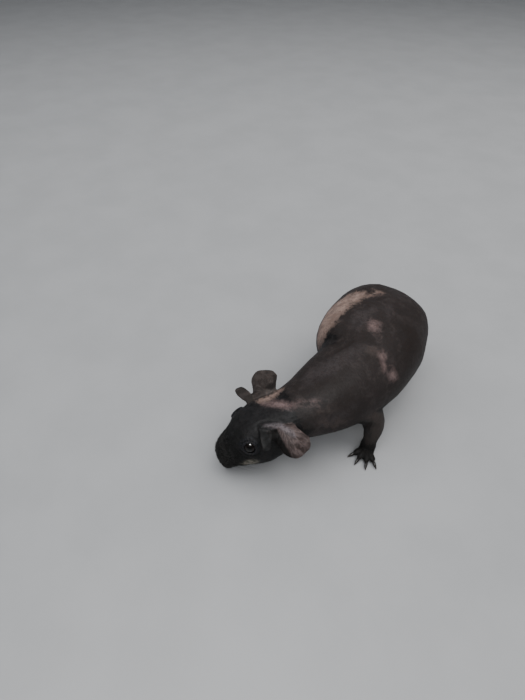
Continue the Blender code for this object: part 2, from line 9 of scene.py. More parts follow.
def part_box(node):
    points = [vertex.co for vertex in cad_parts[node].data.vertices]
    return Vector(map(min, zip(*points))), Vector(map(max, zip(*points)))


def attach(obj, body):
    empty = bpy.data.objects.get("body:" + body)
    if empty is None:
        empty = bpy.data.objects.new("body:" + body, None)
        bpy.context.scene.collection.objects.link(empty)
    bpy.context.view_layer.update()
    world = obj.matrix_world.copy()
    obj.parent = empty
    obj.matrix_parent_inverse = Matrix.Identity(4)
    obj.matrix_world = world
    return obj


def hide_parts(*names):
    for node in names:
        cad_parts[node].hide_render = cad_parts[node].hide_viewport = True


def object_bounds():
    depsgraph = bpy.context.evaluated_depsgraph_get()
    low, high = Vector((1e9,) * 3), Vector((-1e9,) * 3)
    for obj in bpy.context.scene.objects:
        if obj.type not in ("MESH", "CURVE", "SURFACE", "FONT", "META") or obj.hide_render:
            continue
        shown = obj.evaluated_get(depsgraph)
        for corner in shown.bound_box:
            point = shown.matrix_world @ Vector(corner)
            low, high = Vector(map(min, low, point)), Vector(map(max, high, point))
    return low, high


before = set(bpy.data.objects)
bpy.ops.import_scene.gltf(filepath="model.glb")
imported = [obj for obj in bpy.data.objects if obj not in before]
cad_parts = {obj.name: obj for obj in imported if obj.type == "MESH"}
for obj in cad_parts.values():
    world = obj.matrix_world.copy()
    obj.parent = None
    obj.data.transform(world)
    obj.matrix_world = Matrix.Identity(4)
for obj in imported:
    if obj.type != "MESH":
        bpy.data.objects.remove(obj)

cad_box = [list(map(float, corner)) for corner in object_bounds()]

# The hide: one hairless skin over body, head, ears, legs and feet. On the living animal it is a
# soft, loose leather that folds where it is pushed together. It is cast here from the solids,
# closed over their cuts, worked over with folds and set back by the depth of the down.
EARS = ("ear_left", "ear_right")
LEGS = ("leg_front_left", "leg_front_right", "leg_hind_left", "leg_hind_right")
FEET = ("foot_front_left", "foot_front_right", "foot_hind_left", "foot_hind_right")
FLESH = ("torso", "neck", "head") + EARS + LEGS + FEET
SIDES = {"left": 1, "right": -1}
CLAW_TOES = {"front": 4, "hind": 3}
CAST_SWELL, CAST_GRAIN = 0.4, 0.5
BODY_SETBACK, FACE_SETBACK, THIN_SETBACK = 0.22, 0.4, 0.3
HIDE_FACES = 192000
FLOOR_GAP, BOX_GAP, BALL_GAP = 0.06, 0.02, 0.06
EYE_FORWARD, EYE_UP = 28.6, 8.8
EYE_LOOK = (0.26, 0.88, 0.4)
HEAD_TURN, HEAD_DIP = math.radians(23.8), math.radians(21.3)
MUZZLE_BEND = (34.0, 60.0, 5.0)


def vector(*parts):
    return np.array(parts, dtype=float)


def unit(direction):
    return direction / np.linalg.norm(direction)


def lengths(vectors):
    return np.linalg.norm(vectors, axis=1)


def mesh_values(items, name, width=1, kind=float):
    """One value of every corner, edge or face of a mesh, in rows where it has a width."""
    values = np.empty(len(items) * width, dtype=kind)
    items.foreach_get(name, values)
    return values.reshape(-1, width) if width > 1 else values


def mesh_points(mesh):
    """The corners of a mesh, in millimetres."""
    return mesh_values(mesh.vertices, "co", 3) * 1000


def mesh_normals(mesh):
    return mesh_values(mesh.vertex_normals, "vector", 3, np.float32).astype(float)


def mesh_pairs(mesh):
    return mesh_values(mesh.edges, "vertices", 2, np.int32)


def node_points(node):
    return mesh_points(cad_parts[node].data)


def node_middle(node):
    """The middle of a CAD node's box, in millimetres."""
    low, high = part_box(node)
    return (vector(*low) + vector(*high)) * 500


def to_toes(foot):
    """The level direction from a foot's middle to its claws."""
    _, end, side = foot.split("_")
    claws = [node_middle(f"claw_{end}_{side}_{toe + 1}") for toe in range(CLAW_TOES[end])]
    return unit((np.mean(claws, axis=0) - node_middle(foot)) * vector(1, 1, 0))


def place_points(mesh, points):
    mesh.vertices.foreach_set("co", (points / 1000).ravel())
    mesh.update()


def inside_box(points):
    """The points kept just inside the box of the CAD parts."""
    low, high = np.array(cad_box) * 1000
    return np.clip(points, low + BOX_GAP, high - BOX_GAP)


def smooth(mesh):
    mesh.polygons.foreach_set("use_smooth", [True] * len(mesh.polygons))


def linked(name, data):
    """A new object with its data, put in the scene."""
    piece = bpy.data.objects.new(name, data)
    bpy.context.scene.collection.objects.link(piece)
    return piece


def piece_from(name, points, faces, material=None):
    """A new object from points in millimetres, its faces shaded smooth."""
    mesh = bpy.data.meshes.new(name)
    mesh.from_pydata((np.asarray(points) / 1000).tolist(), [], [list(map(int, face)) for face in faces])
    smooth(mesh)
    if material:
        mesh.materials.append(material)
    return linked(name, mesh)


def settled(piece):
    """The piece with its modifiers worked into its mesh, and the modifiers gone."""
    bpy.context.view_layer.update()
    depsgraph = bpy.context.evaluated_depsgraph_get()
    worked = bpy.data.meshes.new_from_object(piece.evaluated_get(depsgraph))
    worked.name = piece.name
    piece.modifiers.clear()
    spent = piece.data
    piece.data = worked
    bpy.data.meshes.remove(spent)
    return piece


def note(mesh, name, values):
    """Writes one number per corner on the mesh."""
    mesh.attributes.new(name, "FLOAT", "POINT").data.foreach_set("value", values.astype(np.float32))


def neighbour_mean(values, pairs):
    """The mean over each corner's neighbours of a value or a place."""
    count = len(values)
    one, two = pairs[:, 0], pairs[:, 1]
    share = np.bincount(one, minlength=count) + np.bincount(two, minlength=count)
    columns = values.reshape(count, -1)
    means = [
        np.bincount(one, column[two], count) + np.bincount(two, column[one], count)
        for column in columns.T
    ]
    return (np.array(means) / np.maximum(share, 1)).T.reshape(values.shape)


def spread(values, pairs, rounds):
    """A mask or field, blurred over the surface."""
    for _ in range(rounds):
        values = values * 0.4 + neighbour_mean(values, pairs) * 0.6
    return values


def eased(points, pairs, rounds, share):
    """The surface smoothed by a share, so that it loses bulk where it is sharp."""
    for _ in range(rounds):
        points = points + share * (neighbour_mean(points, pairs) - points)
    return points


def relaxed(points, pairs, rounds, weight=1.0):
    """The surface smoothed without losing its bulk."""
    for _ in range(rounds):
        points = eased(points, pairs, 1, 0.55 * weight)
        points = eased(points, pairs, 1, -0.57 * weight)
    return points


def step(values, low, high):
    """0 below low and 1 above high, with a soft run between them."""
    t = np.clip((values - low) / (high - low), 0.0, 1.0)
    return t * t * (3 - 2 * t)


def fade(distance, width):
    """1 at no distance, and a bell that is nearly 0 two widths away."""
    return np.exp(-((distance / width) ** 2))


def depth_in(points, path):
    """How deep each point lies in a band along a path of rows (x, y, z, half width)."""
    best = np.full(len(points), -1000.0)
    rows = [(vector(*row[:3]), row[3]) for row in path]
    for (start, start_width), (end, end_width) in zip(rows, rows[1:]):
        run = end - start
        share = np.clip((points - start) @ run / (run @ run), 0.0, 1.0)
        reach = lengths(points - start - share[:, None] * run)
        best = np.maximum(best, start_width + (end_width - start_width) * share - reach)
    return best


def away_from(points, path, sign=1):
    """How far each point is from a path of rows (x, y, z), or from its mirror image."""
    return -depth_in(points, [(x, sign * y, z, 0.0) for x, y, z in path])


def ripple(points, wavelength, count, seed):
    """A soft uneven field between about -1 and 1, with bumps of one size."""
    draw = np.random.default_rng(seed)
    total = np.zeros(len(points))
    for _ in range(count):
        heading = unit(draw.normal(size=3))
        length = wavelength * draw.uniform(0.7, 1.5)
        total += np.sin(points @ heading * 2 * math.pi / length + draw.uniform(0, 6.3))
    return total / math.sqrt(count)


# The head's own frame, from the two eyes: forward out of the nose, left, and up.
eye_centres = {side: node_middle("eye_" + side) for side in SIDES}
eye_radii = {side: (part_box("eye_" + side)[1][0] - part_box("eye_" + side)[0][0]) * 500 for side in SIDES}
eyes_apart = eye_centres["left"] - eye_centres["right"]
head_left = unit(eyes_apart)
head_forward = -vector(
    math.sin(HEAD_TURN) * math.cos(HEAD_DIP),
    math.cos(HEAD_TURN) * math.cos(HEAD_DIP),
    math.sin(HEAD_DIP),
)
head_forward = unit(head_forward - head_left * (head_forward @ head_left))
head_up = np.cross(head_forward, head_left)
if head_up[2] < 0:
    head_up = -head_up
eye_middle = (eye_centres["left"] + eye_centres["right"]) / 2
head_origin = eye_middle - EYE_FORWARD * head_forward - EYE_UP * head_up
eye_looks = {
    side: unit(EYE_LOOK[0] * head_forward + sign * EYE_LOOK[1] * head_left + EYE_LOOK[2] * head_up)
    for side, sign in SIDES.items()
}


def bent_down(forward):
    """How far the muzzle's bend lowers what lies this far forward."""
    start, tip, bend = MUZZLE_BEND
    return bend * np.maximum((forward - start) / (tip - start), 0.0) ** 2


def in_head(points):
    """Points as (forward, left, up) in the head's frame, with the muzzle's bend taken out."""
    own = (points - head_origin) @ np.array([head_forward, head_left, head_up]).T
    own[:, 2] += bent_down(own[:, 0])
    return own


# The solids are swollen until they close over their cuts, and cast in one.
cast_points, cast_faces = [], []
for node in FLESH:
    shell = bmesh.new()
    shell.from_mesh(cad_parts[node].data)
    bmesh.ops.remove_doubles(shell, verts=shell.verts, dist=1e-6)
    shell.normal_update()
    first = len(cast_points)
    for corner in shell.verts:
        cast_points.append((corner.co + corner.normal * CAST_SWELL / 1000) * 1000)
    for face in shell.faces:
        cast_faces.append([first + corner.index for corner in face.verts])
    shell.free()
hide = piece_from("hide", cast_points, cast_faces)
cast = hide.modifiers.new("cast", "REMESH")
cast.mode = "VOXEL"
cast.voxel_size = CAST_GRAIN / 1000
settled(hide)
points = mesh_points(hide.data)
pairs = mesh_pairs(hide.data)

# Each corner belongs to the flesh of the nearest node.
flesh_corners = [(index, point) for index, node in enumerate(FLESH) for point in node_points(node)[::3]]
flesh_tree = kdtree.KDTree(len(flesh_corners))
for place, (index, point) in enumerate(flesh_corners):
    flesh_tree.insert(point, place)
flesh_tree.balance()
flesh_of = np.array([index for index, _ in flesh_corners])


def owners(points):
    return flesh_of[[flesh_tree.find(point)[1] for point in points]]


def share_of(names):
    """1 on the flesh of the named nodes, and 0 elsewhere."""
    return np.isin(owner, [FLESH.index(name) for name in names]).astype(float)


def around(names, rounds):
    """1 on the flesh of the named nodes, with an edge blurred by some rounds."""
    return spread(share_of(names), pairs, rounds)


# The joins and the trunk are smoothed, and the heels rounded.
JOIN_ROUNDS, TRUNK_ROUNDS, HEEL_ROUNDS = 26, 14, 46
FOOT_REACH = 24
owner = owners(points)
join = np.zeros(len(points))
join[pairs[owner[pairs[:, 0]] != owner[pairs[:, 1]]].ravel()] = 1.0
ears_here = around(EARS, 3)
fine = np.maximum(ears_here, share_of(FEET))
near_join = np.clip(spread(join, pairs, 10) * 9, 0, 1) * (1 - 0.9 * fine)
points = relaxed(points, pairs, 3)
points = eased(points, pairs, JOIN_ROUNDS, 0.5 * near_join[:, None])
trunk = spread(1 - share_of(EARS + FEET + ("head",)), pairs, 8)
points = relaxed(points, pairs, TRUNK_ROUNDS, trunk[:, None] * 0.9)
heels = around(FEET[2:], 6)
for foot in FEET[2:]:
    from_foot = points - node_middle(foot)
    near = lengths(from_foot) < FOOT_REACH
    heels[near] *= step(-(from_foot @ to_toes(foot))[near], -3.0, 3.0)
points = eased(points, pairs, HEEL_ROUNDS, 0.5 * heels[:, None])
place_points(hide.data, points)
normals = mesh_normals(hide.data)


def pushed(points, heights):
    """The hide's points moved out along its normals."""
    return points + normals * heights[:, None]


head_here = around(("head",), 8)
feet_here = around(FEET, 5)
face_depth = head_here * step(in_head(points)[:, 0], 20, 50)
setback = CAST_SWELL + BODY_SETBACK + (FACE_SETBACK - BODY_SETBACK) * face_depth
setback = setback - THIN_SETBACK * np.maximum(feet_here, ears_here)
points = pushed(points, -setback)

# Folds of the loose hide, each with its width, its depth and five places: round the neck, behind
# the shoulder, over the waist, the haunch and the rump.
WAIST_CREASE = ((-9.3, -17.1, 73), (-6.6, -9.8, 76), (-4.2, -1.9, 78.4), (-2.4, 4.1, 80), (0.2, 12.8, 82))
WAIST_LINE = ((-12.8, -13, 73), (-9.4, -6, 76.4), (-7, 0.4, 78.6), (-5.4, 6.6, 80.2), (-4, 12.6, 81.6))
FOLDS = (
    (3.4, 1.15, (-23.8, -6.6, 68), (-18.6, -5.4, 70.5), (-7, 3.8, 79), (0.9, 14.3, 82), (7.2, 21.4, 83)),
    (1.3, 0.5, (-14.8, -60.6, 58), (-4.8, -52.6, 62), (6.2, -43.6, 64.5),
     (15.2, -35.6, 62), (23.2, -32.6, 52)),
    (1.2, 0.55, (-10.8, -66.6, 55), (0.2, -59.6, 58), (10.2, -51.6, 58),
     (17.2, -48.6, 50), (21.2, -48.6, 40)),
    (1.2, 0.4, (-0.8, -50.6, 63), (9.2, -38.6, 66), (19.2, -28.6, 64),
     (28.2, -24.6, 55), (32.2, -24.6, 44)),
    (1.2, 0.35, (-30.8, -62.6, 52), (-26.8, -52.6, 57), (-20.8, -44.6, 62),
     (-12.8, -37.6, 66), (-2.8, -30.6, 69)),
    (1.3, 1.7) + WAIST_CREASE,
    (0.9, 0.7) + WAIST_LINE,
    (1.4, 0.6, (25.2, -4.6, 66), (32.2, -4.6, 58), (36.2, -5.6, 50), (37.2, -5.6, 42), (35.2, -4.6, 33)),
    (1.4, 0.45, (21.2, 5.4, 70), (30.2, 5.4, 61), (35.2, 5.4, 52), (37.2, 5.4, 42), (35.2, 5.4, 34)),
    (1.4, 0.5, (-32.8, -10.6, 60), (-36.8, -11.6, 50), (-38.8, -11.6, 40),
     (-36.8, -10.6, 30), (-32.8, -10.6, 24)),
    (2.2, 1, (37.2, 27.4, 60), (41.2, 31.4, 50), (43.2, 37.4, 40), (43.2, 43.4, 30), (39.2, 49.4, 22)),
    (2.2, 0.9, (-42.8, 17.4, 56), (-48.8, 23.4, 46), (-50.8, 29.4, 36),
     (-50.8, 35.4, 28), (-48.8, 39.4, 20)),
    (1.6, 0.5, (19.2, 93.4, 66), (11.2, 101.4, 62), (-0.8, 105.4, 58),
     (-12.8, 106.4, 56), (-24.8, 104.4, 54)),
    (2.2, 0.8, (30, 84, 44), (24, 96, 36), (12, 104, 30), (0, 106, 26), (-10, 106, 24)),
    (2.2, 0.8, (-54, 76, 44), (-52, 88, 36), (-44, 98, 30), (-34, 104, 26), (-24, 106, 24)),
    (3, 1.7, (-27.7, 109, 60), (-27.7, 112.5, 50), (-27.7, 113.5, 39), (-27.5, 111.5, 28), (-27, 106, 18)),
)
FOLD_SWAY, FOLD_END = 0.9, 14.0


def swayed(points):
    """The points moved a little to and fro, so that a fold along a straight path winds."""
    return points + ripple(points, 9.0, 6, 4)[:, None] * unit(vector(0.3, 1.0, 0.4)) * FOLD_SWAY


winding = swayed(points)
sunk = np.zeros(len(points))
for width, depth, *path in FOLDS:
    reach = away_from(winding, path)
    to_end = np.minimum(lengths(points - vector(*path[0])), lengths(points - vector(*path[-1])))
    groove = fade(reach, width) - 0.45 * fade(reach, width * 2.4)
    sunk += depth * step(to_end, 0.0, FOLD_END) * groove
body_here = 1 - np.clip(head_here + ears_here + feet_here, 0, 1)
points = pushed(points, -sunk * body_here)

# What shows through the hide of blade, spine, hips and haunch: x, y, z, reach and rise.
FORMS = (
    (15.8, -16.4, 66, 9, 0.9), (21.8, -28.4, 58, 7, -0.7), (-24.2, -20.4, 66, 9, 0.8),
    (-4.2, -32.4, 69, 7, -0.5), (5.8, 1.6, 78, 8, -0.6), (11.8, 39.6, 83, 10, 0.6),
    (9.8, 85.6, 72, 8, 1), (-2.2, 97.6, 66, 5, -0.9), (-16.2, 101.6, 62, 6, 0.7),
    (-36.2, 85.6, 70, 9, 0.8), (27.8, 57.6, 68, 12, 0.7), (35.8, 21.6, 62, 8, 0.6),
    (33.8, 3.6, 64, 8, -0.8), (27.8, -8.4, 52, 7, 0.9), (-14, 92, 75.5, 4.5, -1.4),
    (-3, 88, 77, 7, 0.9), (-46, 97, 38, 10, 1.4), (-8, 103, 38, 10, 1.4), (-38, 100, 64, 7, -0.9),
    (-12, 104, 62, 7, -0.9), (-26, 107, 62, 6, 1), (36, 58, 30, 12, 1.3), (-53, 48, 30, 12, 1.1),
)
for x, y, z, reach, rise in FORMS:
    points = pushed(points, rise * body_here * fade(lengths(points - vector(x, y, z)), reach))

# Fine crinkles that run round the neck and the shoulders, and looser ones over the belly.
CRINKLE_LENGTH, CRINKLE_DEPTH, UNEVEN = 3.1, 0.09, 0.12
crinkled = step(-points[:, 1], -6, 36) + 0.35 * step(50 - points[:, 2], 0, 25)
crinkled = body_here * np.clip(crinkled, 0.0, 1.0)
along_body = points[:, 1] * 0.93 - points[:, 0] * 0.2 + points[:, 2] * 0.25
wave = np.sin(along_body * 2 * math.pi / CRINKLE_LENGTH + 2.3 * ripple(points, 22.0, 8, 9))
points = pushed(points, CRINKLE_DEPTH * crinkled * wave * (0.5 + 0.5 * ripple(points, 13.0, 6, 12)))
points = pushed(points, UNEVEN * body_here * ripple(points, 17.0, 10, 21))

# The face, in the head's own frame: folds round the eyes, the pads of the whiskers, the fold to
# each ear, the nose's wrinkles and its two holes. The folds are rows of distance from the eye,
# width, height and how much of the fold is left above the eye.
NOSTRIL = ((59.4, 2.3, -1.9), (59.2, 3.3, -0.5), (57.8, 4.5, 0.5))
NOSE = (60.0, 0.0, -0.8)
CLEFT = ((60.2, 0.0, -2.2), (59.6, 0.0, -5.5), (58.2, 0.0, -9.5), (56.4, 0.0, -13.6))
# The mouth's line: how far forward it lies at each turn round the muzzle from the top.
MOUTH_TURN = (112, 119, 127, 137, 156, 180)
MOUTH_PLACE = (41.0, 44.5, 48.5, 52.5, 55.6, 56.4)
EYE_FOLDS = ((7.3, 0.75, 0.32, 0.35), (8.7, 0.6, -0.36, 0.2), (9.9, 0.9, 0.2, 0.0), (11.4, 0.6, -0.2, 0.0))
LIP = ((59.0, 1.8, -4.6), (58.0, 3.6, -8.2), (55.4, 6.2, -10.6))
JOWL = ((41.0, 14.6, -5.5), (36.0, 17.0, -6.5), (30.0, 19.4, -6.5), (22.0, 22.0, -6.5))
TO_EAR = ((14.0, 12.4, 18.4), (8.0, 14.0, 16.8), (2.0, 16.3, 14.4))
NOSE_WRINKLES = ((47.0, 0.16), (50.0, 0.2), (53.0, 0.2))


def openings(in_face):
    """How far each point is from the nostrils, the cleft, the mouth's line and the nose's middle,
    and its turn round the muzzle from the top, in degrees."""
    folded = in_face * vector(1, 0, 1) + np.abs(in_face) * vector(0, 1, 0)
    turn = np.degrees(np.arctan2(folded[:, 1], folded[:, 2]))
    mouth = in_face[:, 0] - np.interp(turn, MOUTH_TURN, MOUTH_PLACE)
    nose = lengths((in_face - vector(*NOSE)) * vector(0.7, 0.8, 1.0))
    return away_from(folded, NOSTRIL), away_from(in_face, CLEFT), mouth, nose, turn


in_face = in_head(points)
forward, sideways, upward = in_face.T
below = step(-(upward - EYE_UP), -3.5, 3.0)
lift = np.zeros(len(points))
for sign in SIDES.values():
    eye = vector(EYE_FORWARD, sign * np.linalg.norm(eyes_apart) / 2, EYE_UP)
    from_eye = lengths(in_face - eye)
    for place, width, height, left_above in EYE_FOLDS:
        lift += height * fade(from_eye - place, width) * (left_above + (1 - left_above) * below)
    turned = np.arctan2(upward - EYE_UP, forward - EYE_FORWARD)
    lift += 0.1 * fade(from_eye - 6.6, 1.6) * np.sin(turned * 19 + 2.2 * ripple(in_face, 9.0, 6, 51))
    lift += 0.55 * fade(lengths(in_face - vector(53.0, sign * 6.5, -3.0)), 4.6)
    for row in range(4):
        for place in range(4):
            root = vector(55.0 - 2.3 * place, sign * (6.8 + 0.9 * place), -0.6 - 1.9 * row)
            lift += 0.13 * fade(lengths((in_face - root) * vector(1, 0.35, 1)), 0.65)
    lift += 0.55 * fade(away_from(in_face, LIP, sign), 2.1)
    lift += 3.1 * fade(away_from(in_face, JOWL, sign), 6.5)
    from_fold = away_from(in_face, TO_EAR, sign)
    lift += 0.8 * fade(from_fold, 2.0) - 0.2 * fade(from_fold - 3.8, 1.3)
lift += step(forward, 38, 50) * (0.16 * ripple(in_face, 3.4, 10, 41) + 0.09 * ripple(in_face, 1.7, 10, 43))

# The lip is cleft under the nose, and the mouth runs back from the cleft under the whisker pads.
nostril, cleft, mouth, nose, turn = openings(in_face)
open_here = step(turn, 110, 122)
lift += 0.45 * fade(nostril - 1.7, 0.7) * step(upward, -3.0, 0.0) - 1.6 * fade(nostril, 0.8)
lift += open_here * (0.4 * fade(mouth - 2.2, 1.2) - 1.2 * fade(mouth, 0.75))
lift += 0.45 * open_here * fade(mouth + 2.4, 1.3) * step(turn, 135, 160)
lift -= 1.1 * fade(cleft, 0.65)
for place, depth in NOSE_WRINKLES:
    bow = place - 0.018 * sideways**2
    lift -= depth * fade(forward - bow, 0.55) * step(8.0 - np.abs(sideways), 0, 4) * step(upward, 1, 4)
points = pushed(points, lift * step(head_here, 0.3, 0.8))


def ear_fan(ear, points):
    """The bearing and the distance of points from an ear's root, in the plane of its palm."""
    sheet = node_points(ear)
    axes = np.linalg.svd(sheet - sheet.mean(axis=0), full_matrices=False)[2]
    from_root = points - sheet[np.argmin(lengths(sheet - head_origin))]
    return np.arctan2(from_root @ axes[1], from_root @ axes[0]), lengths(from_root)


# Ridges spread over each ear's palm from its root.
for ear in EARS:
    bearing, reach = ear_fan(ear, points)
    ridge = np.sin(bearing * 17 + 1.5 * ripple(points, 14.0, 5, 31)) * step(reach, 3, 9)
    points = pushed(points, 0.1 * around((ear,), 4) * ridge)

# The lids draw in before and behind each eye and droop over it, and none of them touches the ball.
CORNER_PULL, TOP_PULL, LID_AT, LID_REACH = 1.3, 0.6, 3.7, 1.4
for side, centre in eye_centres.items():
    look = eye_looks[side]
    out = (points - centre) @ look
    from_axis = points - centre - out[:, None] * look
    spoke = np.maximum(lengths(from_axis), 1e-6)
    across = (from_axis @ head_forward / spoke) ** 2
    above = np.maximum(from_axis @ head_up / spoke, 0.0)
    pull = CORNER_PULL * across**2 + TOP_PULL * above**2
    pull = pull * fade(spoke - LID_AT, LID_REACH) * step(out, 0.0, 1.5)
    points = points - from_axis / spoke[:, None] * pull[:, None]
    radius = eye_radii[side] + BALL_GAP
    from_centre = points - centre
    reach = lengths(from_centre)
    close = reach < radius
    points[close] = centre + from_centre[close] / reach[close][:, None] * radius
points = inside_box(points)
points[:, 2] = np.maximum(points[:, 2], FLOOR_GAP)
place_points(hide.data, points)

# Where the body is plain it keeps fewer faces than the head, the ears and the feet.
plain = hide.vertex_groups.new(name="plain")
plain_share = np.round(np.clip(1 - 0.62 * np.clip(head_here + ears_here + feet_here, 0, 1), 0, 1), 1)
for level in np.unique(plain_share):
    plain.add(np.flatnonzero(plain_share == level).tolist(), float(level), "REPLACE")
hide.data.calc_loop_triangles()
thin = hide.modifiers.new("thin", "DECIMATE")
thin.ratio = min(1.0, HIDE_FACES / len(hide.data.loop_triangles))
thin.vertex_group = "plain"
thin.vertex_group_factor = 1.0
settled(hide)
hide.vertex_groups.clear()
smooth(hide.data)

# The markings: bands of one colour along paths of rows x, y, z and half width. Each corner of the
# hide notes how deep it lies in each marking, in millimetres, and what part of the animal it is.
# Tan, pink, brown, neck and pale are skin colours. grey is painted sheen, dark and ear_shade
# are painted shade, and ear_ridge is a painted highlight.
MARKINGS = (
    ("tan", (-25, 68.8, 81.5, 4.2), (-29.5, 66, 81.2, 5.8), (-34.6, 56.1, 80, 6), (-37, 42, 78.5, 6.4),
     (-36, 29.5, 77, 6.6), (-34.5, 20.5, 74, 5.4), (-34, 11.5, 66, 4.6), (-35, 8.5, 54, 3.8),
     (-37.5, 6, 43, 2.2)),
    ("tan", (-42.5, 60, 75.5, 3.6), (-44, 51, 74.5, 5.8), (-44, 43, 73.5, 7), (-44.5, 36, 71.5, 9),
     (-43, 27, 68.5, 9), (-41, 18, 63, 8), (-39.5, 11, 54, 4.5)),
    ("tan", (-26.3, -69.6, 50, 1.6), (-22.7, -64.6, 52.8, 3.1), (-20.9, -58.2, 54.8, 2.7),
     (-20.2, -54, 56, 1.6), (-18, -49.6, 59, 0.4)),
    ("pink", (-4.6, 36.2, 84.5, 3), (-1.4, 32.6, 84.2, 5.2), (1.8, 29, 83.8, 4.4)),
    ("pink", (13, 17.6, 81.5, 1), (18.6, 14.6, 79.6, 2.6), (24.6, 12.6, 76.6, 3.2),
     (30.4, 11.8, 72.2, 3.4)),
    ("pink", (30.4, 11.8, 72.2, 3.2), (35, 12.4, 66.6, 3.8), (38.8, 14, 58.5, 2.4)),
    ("pink", (-20.6, -69.8, 53.2, 2.4), (-13.6, -65.9, 56.3, 3), (-5.9, -63.1, 58.8, 3),
     (0, -58.5, 60.4, 2.2)),
    ("pink", (0, -58.5, 60.4, 2), (4.1, -54.3, 61.7, 1.6), (10, -48.6, 63.2, 2),
     (14.6, -45, 63.6, 0.6)),
    # grey: light grey patches over the shoulders and back, painted sheen.
    ("grey", (-6.5, -36.1, 68.9, 7), (-0.6, -23, 74.1, 8), (0.6, -12.4, 76.6, 6)),
    ("grey", (0.2, -4.3, 78.6, 5), (8.6, 8.1, 81, 4)),
    ("grey", (-18, 24, 81.6, 2), (-12, 27, 83.1, 5), (-17, 38, 83.4, 4)),
    ("grey", (19, -50.5, 54, 2), (22.5, -47.5, 52.5, 3)),
    ("grey", (-20, 62, 82, 4), (-12, 60, 83, 6), (-4, 55, 83.4, 5)),
    ("grey", (20.1, -53.6, 47, 3), (26.4, -42.1, 54.2, 5), (30.4, -28.1, 57.2, 4)),
    # dark: painted shade, darker bands over the shoulder, the flank and the rump.
    ("dark", (6.2, -36.5, 70, 7), (14.2, -28.5, 71.8, 8), (21, -31.5, 66, 8), (26, -34, 60, 5)),
    ("dark", (31, -30, 53, 4), (33, -24, 52, 4)),
    ("dark", (12, 52, 82, 6), (22, 56, 78, 9), (33, 40, 66, 8), (38, 20, 50, 7)),
    ("neck", (-3.5, -68.5, 56.2, 2.5), (4.7, -63.1, 56.8, 4.6), (13.3, -57.9, 54.4, 5.2),
     (15.5, -58.5, 46, 5)),
    ("neck", (-17, -55.5, 57.5, 0.6), (-13, -53, 60.4, 1.6), (-9, -51, 62.4, 0.8)),
    ("brown", (16.9, -51.2, 56.7, 4), (20.8, -42.9, 60.3, 4.5), (25.3, -33.9, 62.5, 3.5)),
    ("brown", (23.2, -46.6, 50, 3), (27.8, -42, 47.6, 5), (30.2, -32.6, 50, 3)),
    ("brown", (27.2, 1.4, 74, 4), (21.2, 9.4, 79, 5), (9.2, 9.4, 82, 3)),
    ("brown", (37.2, -10.6, 46, 3), (40.2, -12.6, 34, 4), (42.2, -12.6, 20, 2)),
    ("brown", (-12.8, 97.4, 60, 4), (-22.8, 101.4, 52, 6), (-32.8, 99.4, 44, 4)),
    ("pale", (-10.6, -103.2, 18.4, 1.6), (-7.6, -101.4, 18.8, 3.2), (-4.6, -99.4, 20.2, 3.4),
     (-1.6, -96.8, 22.8, 1.8)),
    # ear_ridge: painted highlight along the top ridge of the left ear.
    ("ear_ridge", (-6.4, -83.1, 50.7, 1.2), (-3.2, -80, 51, 2), (1.4, -75.2, 51.1, 2.4),
     (6.9, -74.5, 52.5, 2.8), (11.5, -73.8, 52, 2.4), (14.8, -73.1, 50.6, 1.2)),
    ("ear_shade", (-30.4, -59, 53.6, 1), (-28.4, -55.6, 53.9, 3.2), (-28, -50.8, 53.9, 2.4),
     (-33.4, -45.4, 53.2, 1.6), (-38.5, -46, 53, 0.6)),
)
# Bands of painted shade along the waist's crease and the line beside it: path and half widths.
CREASE_SHADES = ((WAIST_CREASE, (0.6, 1.5, 1.8, 1.5, 0.4)), (WAIST_LINE, (0.2, 0.9, 1.0, 0.9, 0.2)))

points = mesh_points(hide.data)
pairs = mesh_pairs(hide.data)
normals = mesh_normals(hide.data)
owner = owners(points)
in_face = in_head(points)
forward, sideways, upward = in_face.T
ears_here = around(EARS, 3)
feet_here = around(FEET, 4)
head_here = around(("head",), 8)
legs_here = around(LEGS, 6)
ray = np.zeros(len(points))
ray_reach = np.zeros(len(points))
for ear in EARS:
    here = owner == FLESH.index(ear)
    ray[here], ray_reach[here] = ear_fan(ear, points[here])
# ear_leaf is 0 on the front strip of the left ear, where the hollow's shade is painted.
leaf = np.ones(len(points))
here = owner == FLESH.index("ear_left")
leaf[here] = step(-forward[here], -7.0, -2.0)
nostril, cleft, mouth, nose, turn = openings(in_face)
